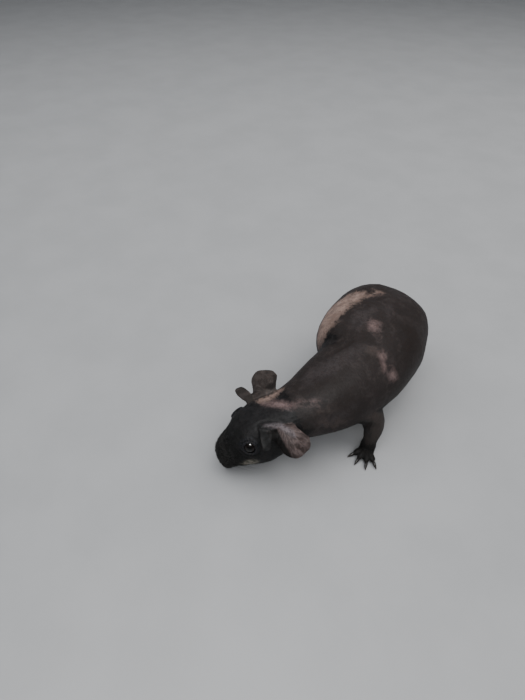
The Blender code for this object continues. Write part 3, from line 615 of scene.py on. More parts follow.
# gap: the nostrils, the cleft and the mouth's line, where painted shade goes and no hair grows.
gap = np.maximum(fade(nostril, 0.75), fade(cleft, 0.6))
gap = np.maximum(gap, fade(mouth, 0.6) * step(turn, 112, 124)) * head_here
nose_pad = head_here * step(-nose, -4.6, -3.2)
edge_of = np.einsum("ij,ij->i", points - neighbour_mean(points, pairs), normals)
eye_away = np.min([lengths(points - centre) for centre in eye_centres.values()], axis=0)
notes = {}
for name, *band in MARKINGS:
    depth = depth_in(points, band)
    notes[name] = np.maximum(notes.get(name, depth), depth)
shade_bands = [[(*place, half) for place, half in zip(path, halves)] for path, halves in CREASE_SHADES]
notes.update({
    "crease": np.max([depth_in(swayed(points), crease) for crease in shade_bands], axis=0),
    "head": head_here,
    "gap": gap,
    "nose": nose_pad,
    "muzzle": head_here * step(forward, 36, 56),
    "foot": np.clip(feet_here + legs_here * step(16 - points[:, 2], -6, 8), 0, 1),
    "leg": legs_here,
    "ear": ears_here,
    "ear_leaf": spread(leaf, pairs, 2),
    "ear_flap": step(forward, 11.5, 13.5),
    "ear_rim": step(edge_of, 0.05, 0.16) * ears_here,
    "ear_far": around(("ear_right",), 3),
    "ear_ray": ray,
    "ear_reach": ray_reach,
    # crown: the top of the head, where painted light makes it a little lighter.
    "crown": step(upward, 11.0, 19.0) * step(-forward, -36.0, -22.0),
    # raised: how far each place stands out from its neighbours, used for painted light and shade.
    "raised": np.clip(spread(edge_of, pairs, 2) / 0.06, -1, 1),
    "eye_away": eye_away,
})
for name, values in notes.items():
    note(hide.data, name, values)


def shade(*parts):
    """A colour as a paint chart gives it, red, green and blue from 0 to 255, as light."""
    parts = [part / 255 for part in parts]
    light = [part / 12.92 if part <= 0.04045 else ((part + 0.055) / 1.055) ** 2.4 for part in parts]
    return (*light, 1.0)


def maths(operation, turned=False):
    """What one sign between two readings does, or between a number and a reading."""

    def sum_of(self, other):
        first, second = (other, self) if turned else (self, other)
        return self.bench.node("ShaderNodeMath", {"operation": operation}, {0: first, 1: second})

    return sum_of


class Reading:
    """One output of a node, so that maths on it is written as sums."""

    __add__, __radd__ = maths("ADD"), maths("ADD", True)
    __sub__, __rsub__ = maths("SUBTRACT"), maths("SUBTRACT", True)
    __mul__, __rmul__ = maths("MULTIPLY"), maths("MULTIPLY", True)

    def __init__(self, bench, socket):
        self.bench = bench
        self.socket = socket

    def out(self, name):
        return Reading(self.bench, self.socket.node.outputs[name])

    def ramp(self, low, high, start=0.0, end=1.0):
        """Runs softly from start to end while the reading goes from low to high."""
        span = {"Value": self, "From Min": low, "From Max": high, "To Min": start, "To Max": end}
        return self.bench.node("ShaderNodeMapRange", {"interpolation_type": "SMOOTHSTEP"}, span)


class Bench:
    """A node tree and the one way in which nodes are added to it."""

    def __init__(self, tree):
        self.tree = tree

    def node(self, kind, settings=None, sockets=None, output=0):
        item = self.tree.nodes.new(kind)
        for name, value in (settings or {}).items():
            setattr(item, name, value)
        for name, value in (sockets or {}).items():
            if isinstance(value, Reading):
                self.tree.links.new(value.socket, item.inputs[name])
            else:
                item.inputs[name].default_value = value
        return Reading(self, item.outputs[output])


class Finish(Bench):
    """A material, with the patterns that the animal's surfaces share."""

    def __init__(self, name):
        self.material = bpy.data.materials.new(name)
        self.material.use_nodes = True
        self.material.node_tree.nodes.clear()
        super().__init__(self.material.node_tree)
        self.place = self.node("ShaderNodeTexCoord").out("Object")

    def noted(self, name):
        """What the surface notes at each place under this name."""
        settings = {"attribute_type": "GEOMETRY", "attribute_name": name}
        return self.node("ShaderNodeAttribute", settings).out("Fac")

    def grain(self, scale, detail=2.0, roughness=0.5, distortion=0.0, where=None):
        sockets = {"Vector": where or self.place, "Scale": scale, "Detail": detail}
        sockets.update({"Roughness": roughness, "Distortion": distortion})
        return self.node("ShaderNodeTexNoise", None, sockets)

    def cells(self, scale):
        return self.node("ShaderNodeTexVoronoi", {"feature": "F1"}, {"Vector": self.place, "Scale": scale})

    def stretched(self, x, y, z):
        return self.node("ShaderNodeVectorMath", {"operation": "MULTIPLY"}, {0: self.place, 1: (x, y, z)})

    def blend(self, share, first, second):
        return self.node("ShaderNodeMix", {"data_type": "RGBA"}, {0: share, 6: first, 7: second}, 2)

    def tones(self, reading, low, high, first, second):
        """One tone where the reading is low and another where it is high."""
        return self.blend(reading.ramp(low, high), shade(*first), shade(*second))

    def washed(self, colour, *layers):
        """A colour under layers: what each follows, its low and high, its strength and its tone."""
        for reading, low, high, strength, tone in layers:
            colour = self.blend(reading.ramp(low, high) * strength, colour, shade(*tone))
        return colour

    def bump(self, strength, height):
        sockets = {"Strength": strength, "Distance": 0.001, "Height": height}
        return self.node("ShaderNodeBump", None, sockets)

    def close(self, colour, roughness, normal=None, **constants):
        """Ends the material in one shader of a colour, a roughness, a bump and constants."""
        sockets = {"Base Color": colour, "Roughness": roughness}
        if normal:
            sockets["Normal"] = normal
        sockets.update(constants)
        shader = self.node("ShaderNodeBsdfPrincipled", None, sockets)
        output = self.tree.nodes.new("ShaderNodeOutputMaterial")
        self.tree.links.new(shader.socket, output.inputs["Surface"])
        return self.material


def hide_colour(finish):
    """The colour of the hide at each place, for the bare skin and for the down on it."""
    blend, noted, grain = finish.blend, finish.noted, finish.grain
    tones, washed = finish.tones, finish.washed
    cloud = grain(38, 3, 0.55)
    blotch = grain(130, 4, 0.6, 0.4)
    fleck = grain(330, 4, 0.65, 0.3)
    speckle = grain(900, 3, 0.6)
    edge = (blotch - 0.5) * 16 + (fleck - 0.5) * 14 + (speckle - 0.5) * 6

    def marked(name, wander):
        """How deep each place lies in the bands of one marking, with an edge that wanders."""
        return noted(name) + edge * wander

    # The dark of the back and the flanks, with painted sheen in light grey patches and painted shade
    # in dark bands laid over it, and the darker head and neck with painted light on the crown.
    dark = washed(
        tones(cloud, 0.38, 0.62, (27, 26, 27), (37, 35, 36)),
        # Painted sheen: light grey patches over the shoulders and back.
        (marked("grey", 1.2), -6.0, 5.0, 0.75, (62, 59, 61)),
        (blotch, 0.48, 0.64, 0.5, (59, 54, 54)),
        (fleck, 0.48, 0.6, 0.45, (23, 22, 22)),
        (speckle, 0.52, 0.68, 0.4, (19, 18, 18)),
    )
    brown = marked("brown", 0.8).ramp(-4.0, 4.0) * blotch.ramp(0.3, 0.6)
    dark = blend(brown * 0.45, dark, shade(72, 62, 58))
    # Painted shade: the dark bands darken the shoulder, flank and rump.
    dark = washed(dark, (marked("dark", 1.0), -6.0, 6.0, 0.85, (17, 16, 16)))
    head = washed(
        # Painted light: the top of the head is lighter than its sides.
        blend(noted("crown"), shade(31, 31, 31), shade(35, 34, 35)),
        (blotch, 0.44, 0.62, 0.4, (48, 47, 48)),
        (fleck, 0.48, 0.6, 0.45, (20, 20, 20)),
    )
    either = {0: noted("head").ramp(0.25, 0.8), 1: marked("neck", 0.4).ramp(-3.0, 3.0)}
    headed = finish.node("ShaderNodeMath", {"operation": "ADD", "use_clamp": True}, either)
    colour = blend(headed, dark, head)

    # The ears: a pink-brown palm with streaks along its rays, painted shade in the hollow before it,
    # flap and rim.
    fan = {"X": noted("ear_ray") * 3.4, "Y": noted("ear_reach") * 0.07}
    streak = grain(2.2, 3, 0.6, 0.5, finish.node("ShaderNodeCombineXYZ", None, fan))
    palm = washed(
        tones(streak, 0.34, 0.66, (60, 51, 49), (106, 93, 91)),
        (blotch, 0.44, 0.62, 0.6, (50, 42, 40)),
        (fleck, 0.5, 0.62, 0.35, (46, 38, 36)),
    )
    far = tones(streak, 0.3, 0.7, (56, 50, 48), (76, 69, 66))
    far = washed(far, (blotch, 0.44, 0.66, 0.5, (42, 38, 37)))
    on_far = noted("ear_far").ramp(0.3, 0.7)
    hollow_shade = tones(blotch, 0.4, 0.6, (15, 14, 13), (25, 23, 22))
    leaf = blend(noted("ear_leaf").ramp(0.25, 0.75), hollow_shade, blend(on_far, palm, far))
    flap = tones(blotch, 0.4, 0.65, (30, 30, 30), (43, 42, 43))
    far_flap = tones(blotch, 0.4, 0.65, (52, 48, 46), (70, 64, 62))
    on_flap = noted("ear_flap")
    ear = blend(on_flap.ramp(0.3, 0.7), leaf, blend(on_far, flap, far_flap))
    ear = blend(noted("ear_rim") * (1 - on_flap) * 0.7, ear, shade(24, 22, 22))
    ear = washed(ear, (marked("ear_shade", 0.14), -1.4, 1.6, 0.85, (26, 23, 22)))
    colour = blend(noted("ear").ramp(0.3, 0.8), colour, ear)
    # Painted highlight: a pale band along the lit top ridge of the left ear.
    ridge = tones(fleck, 0.42, 0.6, (122, 114, 117), (78, 72, 74))
    colour = blend(marked("ear_ridge", 0.16).ramp(-1.4, 1.8) * 0.85, colour, ridge)

    # Painted shade in the waist's crease, and the markings of pink, tan and milk.
    colour = washed(colour, (marked("crease", 0.08), -1.5, 0.7, 0.7, (15, 13, 13)))
    rose = tones(fleck, 0.42, 0.62, (136, 115, 113), (94, 79, 78))
    colour = blend(marked("pink", 0.6).ramp(-3.2, 4.2) * 0.85, colour, rose)
    sand = tones(blotch, 0.4, 0.62, (174, 150, 139), (136, 115, 106))
    sand = washed(sand, (fleck, 0.5, 0.66, 0.6, (104, 88, 82)))
    colour = blend(marked("tan", 0.8).ramp(-3.6, 3.8) * 0.92, colour, sand)
    milk = washed(shade(134, 130, 120), (fleck, 0.46, 0.62, 0.8, (56, 54, 50)))
    pale = marked("pale", 0.34).ramp(-2.4, 3.2)
    colour = blend(pale * 0.9, colour, milk)

    # The muzzle, the legs and feet, painted shade in the nose's openings and the mouth's line, and
    # the rings round the eyes.
    snout = tones(fleck, 0.44, 0.58, (52, 51, 51), (25, 24, 25))
    colour = blend(noted("muzzle").ramp(0.1, 0.8) * 0.85 * (1 - pale), colour, snout)
    colour = washed(
        colour,
        (noted("leg"), 0.2, 0.8, 0.5, (58, 55, 53)),
        (noted("foot"), 0.2, 0.9, 0.9, (33, 32, 31)),
    )
    colour = blend(noted("nose") * 0.75, colour, shade(60, 53, 52))
    # Painted shade: the nostrils, the cleft and the mouth's line darkened.
    colour = blend(noted("gap") * 0.85, colour, shade(9, 7, 7))
    from_eye = noted("eye_away")
    colour = blend(from_eye.ramp(9.4, 7.4) * fleck.ramp(0.36, 0.6) * 0.75, colour, shade(42, 43, 48))
    return washed(colour, (from_eye, 6.6, 5.6, 0.8, (22, 21, 24)))


bare = Finish("hide_bare")
curve_shading = bare.noted("raised")
on_head = bare.noted("head")
# Painted light and shade from the surface's curve: lighter on raised edges, darker in hollows.
colour = bare.washed(
    hide_colour(bare),
    (curve_shading, 0.2, 1.0, 0.16, (96, 84, 80)),
    (curve_shading, -0.15, -0.9, 0.5, (12, 10, 10)),
)
smooth_here = bare.noted("muzzle") + bare.noted("foot")
pebble = bare.cells(820).ramp(0.0, 0.75, 1.0, 0.0)
pores = bare.cells(2300).ramp(0.05, 0.5)
lines = bare.grain(1.0, 4, 0.62, 0.5, bare.stretched(150, 700, 150))
cross = bare.grain(1.0, 3, 0.6, 0.4, bare.stretched(600, 190, 600))
nap = bare.grain(1.0, 3, 0.7, 0.0, bare.stretched(2600, 1500, 2600))
height = pebble * 0.04 + pores * 0.015 + lines.ramp(0.3, 0.7) * 0.11 + cross.ramp(0.35, 0.7) * 0.07
height = height * (1 - smooth_here.ramp(0.1, 0.6) * 0.7) * (1 - on_head * 0.75)
height = height + nap * (0.02 + on_head * 0.045) + bare.grain(330, 3, 0.5) * 0.07
gloss = 0.56 + (bare.grain(420, 3, 0.6) - 0.5) * 0.22 + smooth_here * 0.12
bare.close(
    colour,
    gloss,
    bare.bump(0.9, height),
    **{
        "Specular IOR Level": 0.07,
        "Sheen Weight": 0.02,
        "Sheen Roughness": 0.45,
        "Sheen Tint": shade(190, 188, 196),
        "Subsurface Weight": 0.06,
        "Subsurface Radius": (1.0, 0.45, 0.3),
        "Subsurface Scale": 0.0012,
    },
)
hide.data.materials.clear()
hide.data.materials.append(bare.material)
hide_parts(*FLESH)
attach(hide, "root")

# The eyes: near-black brown balls, wet and shiny, a little proud of the lids. Each is one ball
# with its clear cornea drawn out towards the front and a dark iris behind it.
CORNEA_RISE, CORNEA_SPREAD = 0.12, 0.55

wet = Finish("eye_wet")
from_pupil = wet.noted("from_pupil")
iris = wet.tones(wet.grain(900, 4, 0.6), 0.35, 0.65, (12, 8, 7), (24, 15, 12))
eye_colour = wet.blend(from_pupil.ramp(1.9, 2.2), shade(3, 3, 3), iris)
eye_colour = wet.blend(from_pupil.ramp(4.3, 5.0), eye_colour, shade(12, 9, 9))
wet.close(
    eye_colour,
    0.3 + wet.grain(500, 2) * 0.04,
    **{"Coat Weight": 0.7, "Coat Roughness": 0.03, "Coat IOR": 1.36, "Specular IOR Level": 0.05},
)
for side, look in eye_looks.items():
    ball = bmesh.new()
    bmesh.ops.create_uvsphere(ball, u_segments=64, v_segments=40, radius=1.0)
    ball.verts.index_update()
    to_look = Vector(look).to_track_quat("Z", "Y").to_matrix()
    directions = np.array([to_look @ corner.co for corner in ball.verts])
    ball_faces = [[corner.index for corner in face.verts] for face in ball.faces]
    ball.free()
    bearing = np.arccos(np.clip(directions @ look, -1, 1))
    grown = eye_radii[side] + CORNEA_RISE * fade(bearing, CORNEA_SPREAD)
    ball_points = eye_centres[side] + directions * grown[:, None]
    eyeball = piece_from("eyeball_" + side, ball_points, ball_faces, wet.material)
    note(eyeball.data, "from_pupil", bearing * eye_radii[side])
    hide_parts("eye_" + side)
    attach(eyeball, "root")

# The claws: fourteen horn claws, four on each fore foot and three on each hind foot. Each grows
# out of its toe, curves down to the floor and is flattened below, darkest at the root.
CLAW_SIDES, CLAW_RINGS, CAD_RINGS = 16, 18, 6
CLAW_ROOT, CLAW_TIP, CLAW_GAP = 1.6, 0.7, 0.1
CLAW_SWELL, CLAW_WIDE, CLAW_OVER, CLAW_UNDER = 1.18, 0.86, 1.12, 0.72

horn = Finish("claw_horn")
stripe = horn.grain(1.0, 3, 0.6, 0.2, horn.stretched(3000, 900, 3000))
horn_colour = horn.tones(horn.noted("along"), 0.25, 1.0, (22, 20, 19), (50, 43, 38))
horn_colour = horn.washed(horn_colour, (stripe, 0.4, 0.7, 0.4, (38, 33, 30)))
horn_bump = horn.bump(0.8, stripe * 0.03 + horn.grain(2600, 2) * 0.01)
horn.close(horn_colour, 0.34 + stripe * 0.12, horn_bump, **{"Specular IOR Level": 0.3})


def claw_rings(node):
    """The middles and radii of the six rings of a CAD claw, from root to tip."""
    points = np.unique(np.round(node_points(node), 4), axis=0)
    axis = np.linalg.svd(points - points.mean(axis=0), full_matrices=False)[2][0]
    groups = np.array_split(points[np.argsort(points @ axis)], CAD_RINGS)
    middles = [group.mean(axis=0) for group in groups]
    radii = [lengths(group - middle).mean() for group, middle in zip(groups, middles)]
    if radii[0] < radii[-1]:
        middles, radii = middles[::-1], radii[::-1]
    return np.array(middles), np.array(radii)


def ring_about(middle, heading, sides, wide, over, under):
    """A ring of points square to a heading, with its reach sideways, above and below."""
    across = unit(np.cross(heading, vector(0, 0, 1)))
    above = np.cross(across, heading)
    turns = [2 * math.pi * side / sides for side in range(sides)]
    rises = [math.sin(turn) * (under if math.sin(turn) < 0 else over) for turn in turns]
    return [middle + across * math.cos(turn) * wide + above * rise for turn, rise in zip(turns, rises)]


def tube(rings, root, tip):
    """The points and faces of a closed tube through rings of points, from its root to its tip."""
    sides = len(rings[0])
    last = (len(rings) - 1) * sides
    faces = []
    for side in range(sides):
        after = (side + 1) % sides
        for first in range(0, last, sides):
            faces.append((first + side, first + after, first + after + sides, first + side + sides))
        faces.append((after, side, last + sides))
        faces.append((last + side, last + after, last + sides + 1))
    return [point for ring in rings for point in ring] + [root, tip], faces


def faced_out(piece):
    """The piece with all its faces turned outwards."""
    shell = bmesh.new()
    shell.from_mesh(piece.data)
    bmesh.ops.recalc_face_normals(shell, faces=shell.faces)
    shell.to_mesh(piece.data)
    shell.free()
    return piece


claws = [
    f"claw_{end}_{side}_{toe + 1}"
    for end, toes in CLAW_TOES.items() for side in SIDES for toe in range(toes)
]
for node in claws:
    middles, radii = claw_rings(node)
    middles = np.vstack([middles[0] - unit(middles[1] - middles[0]) * CLAW_ROOT, middles])
    radii = np.concatenate([[radii[0] * 0.8], radii])
    at = np.linspace(0, 1, len(middles))
    along = np.linspace(0, 1, CLAW_RINGS)
    path = np.array([np.interp(along, at, middles[:, axis]) for axis in range(3)]).T
    for _ in range(3):
        path[1:-1] = (path[:-2] + 2 * path[1:-1] + path[2:]) / 4
    rings = []
    for place, radius in enumerate(np.interp(along, at, radii)):
        heading = unit(path[min(place + 1, CLAW_RINGS - 1)] - path[max(place - 1, 0)])
        reaches = [radius * CLAW_SWELL * share for share in (CLAW_WIDE, CLAW_OVER, CLAW_UNDER)]
        rings.append(ring_about(path[place], heading, CLAW_SIDES, *reaches))
    tip = path[-1] + unit(path[-1] - path[-2]) * radii[-1] * CLAW_TIP
    claw_points, claw_faces = tube(rings, path[0], tip)
    claw_points = np.array(claw_points)
    claw_points[:, 2] = np.maximum(claw_points[:, 2], CLAW_GAP)
    claw = faced_out(piece_from("horn_" + node, claw_points, claw_faces, horn.material))
    note(claw.data, "along", np.concatenate([np.repeat(along, CLAW_SIDES), [0.0, 1.0]]))
    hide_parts(node)
    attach(claw, "root")

# The down: what hair the animal has. A dense velvet on muzzle, head and feet, and short sparse
# down elsewhere, each tuft two bent hairs rooted in the hide that lie along the body.
TUFTS = 10200
ATLAS_PATCH = 0.003
CHARTS = {
    ("torso", "neck"): (0.03, 0.03, 0.5, 0.94),
    ("head",): (0.57, 0.52, 0.4, 0.45),
    ("ear_left",): (0.57, 0.36, 0.18, 0.12),
    ("ear_right",): (0.79, 0.36, 0.18, 0.12),
    ("leg_front_left", "foot_front_left"): (0.57, 0.2, 0.18, 0.12),
    ("leg_front_right", "foot_front_right"): (0.79, 0.2, 0.18, 0.12),
    ("leg_hind_left", "foot_hind_left"): (0.57, 0.04, 0.18, 0.12),
    ("leg_hind_right", "foot_hind_right"): (0.79, 0.04, 0.18, 0.12),
}
COATS = {
    "velvet_muzzle": (1.5, 0.03),
    "velvet_head": (0.95, 0.032),
    "velvet_feet": (1.4, 0.028),
    "down_body": (1.1, 0.02),
}

# The hide unrolled: each part of the body round its own length.
unrolled = np.zeros((len(points), 2))
for nodes, (left, bottom, wide, high) in CHARTS.items():
    here = share_of(nodes) > 0
    own = points[here] - points[here].mean(axis=0)
    axes = np.linalg.svd(own[::7], full_matrices=False)[2]
    along, up_own, across_own = own @ axes[0], own @ axes[1], own @ axes[2]
    unrolled[here, 0] = left + wide * (along - along.min()) / np.ptp(along)
    unrolled[here, 1] = bottom + high * (np.arctan2(across_own, up_own) + math.pi) / (2 * math.pi)
note(hide.data, "unroll_u", unrolled[:, 0])
note(hide.data, "unroll_v", unrolled[:, 1])


def turned_to(flow, way, here):
    """The flow turned another way where a share says so."""
    return flow * (1 - here[:, None]) + way * here[:, None]


# The lie of the down: back from the nose, along the trunk, down the legs and out to the toes.
flow = np.tile(vector(-0.05, 1.0, -0.35), (len(points), 1))
down_face = -head_forward - 0.35 * head_up + 0.25 * np.sign(sideways)[:, None] * head_left
flow = turned_to(flow, down_face, head_here)
flow = turned_to(flow, vector(0, -0.2, -1), legs_here)
for foot in FEET:
    flow = turned_to(flow, to_toes(foot) + vector(0, 0, -0.25), around((foot,), 4))
flow = flow - normals * np.einsum("ij,ij->i", flow, normals)[:, None]
flow = flow / np.maximum(lengths(flow), 1e-6)[:, None]
rise = 0.34 + 0.2 * head_here * step(forward, 40, 58)
lean = (flow * (1 - rise)[:, None] + normals * rise[:, None]).astype(np.float32)
hide.data.attributes.new("lean", "FLOAT_VECTOR", "POINT").data.foreach_set("vector", lean.ravel())

# How densely each coat grows at each place, so that all of its tufts are planted.
muzzle_here = head_here * step(forward, 37, 45)
off_eye = step(eye_away, 5.9, 6.9)
off_floor = step(points[:, 2], 0.9, 2.2)
off_nose = 1 - np.clip(np.maximum(gap * 1.6, 0.9 * nose_pad), 0, 1)
off_nose = off_nose * (1 - 0.9 * fade(nostril, 1.5))
density = {
    "velvet_muzzle": muzzle_here * (0.5 + 0.5 * step(forward, 44, 54)) * off_nose,
    "velvet_head": head_here * (1 - muzzle_here) + 0.25 * ears_here,
    "velvet_feet": np.clip(feet_here + legs_here * step(15 - points[:, 2], -8, 8), 0, 1),
    "down_body": np.clip(1 - head_here - ears_here - feet_here, 0, 1),
}
faces = len(hide.data.polygons)
areas = mesh_values(hide.data.polygons, "area")
sizes = mesh_values(hide.data.polygons, "loop_total", 1, np.int32)
face_corners = mesh_values(hide.data.loops, "vertex_index", 1, np.int32)
face_of_corner = np.repeat(np.arange(faces), sizes)
for name in COATS:
    here = density[name] * off_eye * off_floor
    mean = np.bincount(face_of_corner, here[face_corners], faces) / sizes
    note(hide.data, name, here * TUFTS / max((mean * areas).sum(), 1e-9))


def hair_tuft(name, width):
    """Two bent hairs side by side, one metre long, with a small flat chart of their own."""
    corners, faces = [], []
    for offset, spin, reach in ((0.0, 0.0, 1.0), (0.16, 1.3, 0.8)):
        first = len(corners)
        for share, thick, bend in ((-0.12, 1.0, 0.0), (0.5, 0.75, 0.1)):
            for corner in range(3):
                turn = spin + 2 * math.pi * corner / 3
                across = offset + width * thick * math.cos(turn)
                corners.append((across, bend + width * thick * math.sin(turn), share * reach))
        corners.append((offset, 0.32, reach))
        for corner in range(3):
            after = (corner + 1) % 3
            faces.append((first + corner, first + after, first + 3 + after, first + 3 + corner))
            faces.append((first + 3 + corner, first + 3 + after, first + 6))
    corners = np.array(corners)
    tuft = piece_from(name, corners * 1000, faces)
    chart = (corners - corners.min(axis=0)) / np.ptp(corners, axis=0) - 0.5
    note(tuft.data, "chart_u", chart[:, 0])
    note(tuft.data, "chart_v", chart[:, 2])
    return tuft


def planting(name, material):
    """Geometry Nodes that plant one tuft at each drawn place of the hide and lay it down."""
    tree = bpy.data.node_groups.new(name, "GeometryNodeTree")
    kinds = {"Hide": "Geometry", "Tuft": "Object", "Length": "Float", "Patch": "Float", "Seed": "Int"}
    for socket, kind in kinds.items():
        tree.interface.new_socket(socket, in_out="INPUT", socket_type="NodeSocket" + kind)
    tree.interface.new_socket("Down", in_out="OUTPUT", socket_type="NodeSocketGeometry")
    node = Bench(tree).node
    given = node("NodeGroupInput")
    seed = given.out("Seed")

    def noted(attribute, kind="FLOAT"):
        return node("GeometryNodeInputNamedAttribute", {"data_type": kind}, {"Name": attribute})

    sown = {"Mesh": given.out("Hide"), "Density": noted(name), "Seed": seed}
    roots = node("GeometryNodeDistributePointsOnFaces", {"distribute_method": "RANDOM"}, sown)
    astray = {0: (-0.22, -0.22, -0.22), 1: (0.22, 0.22, 0.22), "Seed": seed}
    stray = node("FunctionNodeRandomValue", {"data_type": "FLOAT_VECTOR"}, astray)
    lean = {0: noted("lean", "FLOAT_VECTOR"), 1: stray}
    aim = node("ShaderNodeVectorMath", {"operation": "ADD"}, lean)
    laid = node("FunctionNodeAlignRotationToVector", {"axis": "Z"}, {"Vector": aim})
    down = {"Rotation": laid, "Vector": (0.0, 0.0, -1.0)}
    curl = node("FunctionNodeAlignRotationToVector", {"axis": "Y", "pivot_axis": "Z"}, down)
    sizes = {2: 0.6, 3: 1.25, "Seed": seed}
    scale = node("FunctionNodeRandomValue", {"data_type": "FLOAT"}, sizes, 1) * given.out("Length")
    tuft = node("GeometryNodeObjectInfo", None, {"Object": given.out("Tuft")}).out("Geometry")
    each = {"Points": roots, "Instance": tuft, "Rotation": curl, "Scale": scale}
    planted = node("GeometryNodeInstanceOnPoints", None, each)
    solid = node("GeometryNodeRealizeInstances", None, {"Geometry": planted})
    chart_u = noted("unroll_u") + noted("chart_u") * given.out("Patch")
    chart_v = noted("unroll_v") + noted("chart_v") * given.out("Patch")
    chart = node("ShaderNodeCombineXYZ", None, {"X": chart_u, "Y": chart_v})
    stored = {"Geometry": solid, "Name": "OFBake", "Value": chart}
    mapped = node("GeometryNodeStoreNamedAttribute", {"data_type": "FLOAT2", "domain": "CORNER"}, stored)
    done = node("GeometryNodeSetMaterial", None, {"Geometry": mapped, "Material": material})
    last = tree.nodes.new("NodeGroupOutput")
    tree.links.new(done.socket, last.inputs["Down"])
    return tree


downy = Finish("down_soft")
down_colour = hide_colour(downy)
tips = downy.grain(1900, 2, 0.5).ramp(0.5, 0.66)
down_colour = downy.blend(tips * (0.16 + 0.4 * downy.noted("muzzle")), down_colour, shade(112, 109, 106))
downy.close(
    down_colour,
    0.62 + downy.grain(900, 2) * 0.1,
    **{"Specular IOR Level": 0.1, "Sheen Weight": 0.02, "Sheen Roughness": 0.4},
)
for place, (name, (length, width)) in enumerate(COATS.items()):
    tuft = hair_tuft("tuft_" + name, width)
    coat = linked(name, hide.data.copy())
    grow = coat.modifiers.new("grow", "NODES")
    grow.node_group = planting(name, downy.material)
    given = {"Tuft": tuft, "Length": length / 1000, "Patch": ATLAS_PATCH, "Seed": 11 + place}
    for item in grow.node_group.interface.items_tree:
        if item.name in given:
            grow[item.identifier] = given[item.name]
    settled(coat)
    bpy.data.objects.remove(tuft)
    place_points(coat.data, inside_box(mesh_points(coat.data)))
    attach(coat, "root")

# The whiskers: stiff black bristles in four rows on each side of the muzzle, with a few over each
# eye. Each is a tapered horn hair rooted in the whisker pad that bows back along the cheek.
WHISKER_SIDES, WHISKER_STEPS = 5, 8
WHISKER_RADIUS, WHISKER_DEPTH = 0.085, 0.4


def from_head(forward, left, up):
    """A place of the head's frame, in the model's."""
    up = up - bent_down(forward)
    return head_origin + forward * head_forward + left * head_left + up * head_up


draw = np.random.default_rng(5)
hide_tree = kdtree.KDTree(len(points))
for index, point in enumerate(points):
    hide_tree.insert(point, index)
hide_tree.balance()
bristles = []
for sign in SIDES.values():
    for row in range(4):
        for place in range(5):
            root = (55.0 - 2.3 * place, sign * (6.6 + 0.9 * place), 0.2 - 2.1 * row)
            aim = (-0.45 - 0.1 * place, sign * 1.0, 0.32 - 0.22 * row)
            bristles.append((root, aim, 7.0 + 2.6 * place + draw.uniform(-1.5, 1.5)))
    for place in range(3):
        root = (34.0 - 1.8 * place, sign * (11.5 + 0.6 * place), 14.0 - 0.4 * place)
        bristles.append((root, (-0.5, sign * 0.8, 0.75), 6.0 + draw.uniform(-1, 2)))
whisker_points, whisker_faces = [], []
for root, aim, length in bristles:
    _, nearest, _ = hide_tree.find(from_head(*root))
    out = unit(from_head(*(0.1 * vector(*aim))) - from_head(0, 0, 0))
    back = -head_forward * draw.uniform(0.25, 0.5) - head_up * draw.uniform(0.0, 0.3)
    shares = np.linspace(0, 1, WHISKER_STEPS)[:, None]
    path = points[nearest] - normals[nearest] * WHISKER_DEPTH + (out * shares + back * shares**2) * length
    heading = unit(path[-1] - path[0])
    radii = WHISKER_RADIUS * (1 - shares[:-1, 0]) ** 0.8
    rings = [
        ring_about(middle, heading, WHISKER_SIDES, radius, radius, radius)
        for middle, radius in zip(path, radii)
    ]
    own_points, own_faces = tube(rings, path[0], path[-1])
    whisker_faces += [[len(whisker_points) + corner for corner in face] for face in own_faces]
    whisker_points += own_points
bristle = Finish("whisker_black")
bristle_tone = bristle.tones(bristle.grain(400, 3), 0.4, 0.7, (16, 14, 14), (52, 46, 44))
bristle.close(bristle_tone, 0.4 + bristle.grain(900, 2) * 0.1, **{"Specular IOR Level": 0.4})
whiskers = piece_from("whiskers", inside_box(whisker_points), whisker_faces, bristle.material)
faced_out(whiskers)
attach(whiskers, "root")

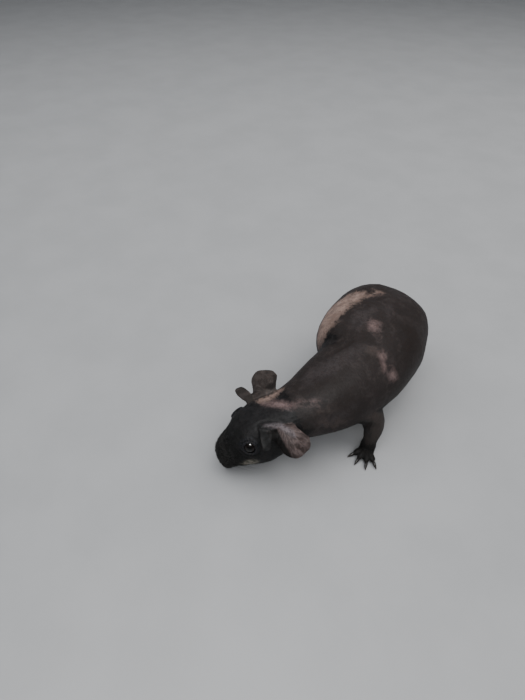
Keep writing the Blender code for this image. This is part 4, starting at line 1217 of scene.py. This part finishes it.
# The floor, the light and the camera of the picture. Each lamp has its place, what it points at,
# its size, its power and its tint, and only the glint is seen in what shines.
FLOOR_HALF = 3000
LAMPS = {
    "window": ((0.3, 0.8, 1.5), (0.0, 0.0, 0.03), 1.5, 16.5, (1.0, 0.99, 0.97)),
    "ceiling": ((-0.5, -0.2, 1.6), (0.0, 0.0, 0.03), 1.8, 17.0, (0.98, 0.99, 1.0)),
    "room": ((1.0, -0.9, 1.0), (0.0, -0.03, 0.04), 1.6, 9.5, (0.98, 0.99, 1.0)),
    "glint": ((0.184, -0.346, 0.683), (-0.009, -0.096, 0.036), 0.24, 12.0, (1.0, 1.0, 1.0)),
}
ROOM_TINT, ROOM_LIGHT = (0.75, 0.78, 0.82, 1.0), 0.19
CAMERA_PLACE, CAMERA_AIM = (0.1359, -0.2182, 0.335), (-0.731, 0.682)
CAMERA_DIP, CAMERA_LENS = math.radians(46.0), 23.657

floor_finish = Finish("floor_pale")
floor_grain = floor_finish.grain(14, 4, 0.55)
floor_tone = floor_finish.tones(floor_grain, 0.3, 0.7, (172, 173, 175), (178, 179, 181))
floor_finish.close(floor_tone, 0.6 + floor_grain * 0.08)
floor_points = [(x * FLOOR_HALF, y * FLOOR_HALF, 0) for x, y in ((-1, -1), (1, -1), (1, 1), (-1, 1))]
floor = piece_from("floor", floor_points, [(0, 1, 2, 3)], floor_finish.material)

for name, (place, aim, size, power, tint) in LAMPS.items():
    lamp_data = bpy.data.lights.new(name, "AREA")
    lamp_data.shape = "DISK"
    lamp_data.size = size
    lamp_data.energy = power
    lamp_data.color = tint
    lamp = linked(name, lamp_data)
    lamp.location = place
    lamp.rotation_euler = (Vector(aim) - Vector(place)).to_track_quat("-Z", "Y").to_euler()
    lamp.visible_glossy = name == "glint"
    lamp.visible_diffuse = name != "glint"
world = bpy.data.worlds.new("room_light")
world.use_nodes = True
world.node_tree.nodes["Background"].inputs["Color"].default_value = ROOM_TINT
world.node_tree.nodes["Background"].inputs["Strength"].default_value = ROOM_LIGHT
bpy.context.scene.world = world

camera_data = bpy.data.cameras.new("camera")
camera_data.lens = CAMERA_LENS
camera_data.sensor_width = 36.0
camera_data.sensor_fit = "AUTO"
camera_data.clip_start = 0.01
camera_data.clip_end = 20.0
camera = linked("camera", camera_data)
camera.location = CAMERA_PLACE
level = math.cos(CAMERA_DIP)
heading = Vector((CAMERA_AIM[0] * level, CAMERA_AIM[1] * level, -math.sin(CAMERA_DIP)))
camera.rotation_euler = heading.to_track_quat("-Z", "Y").to_euler()
bpy.context.scene.camera = camera
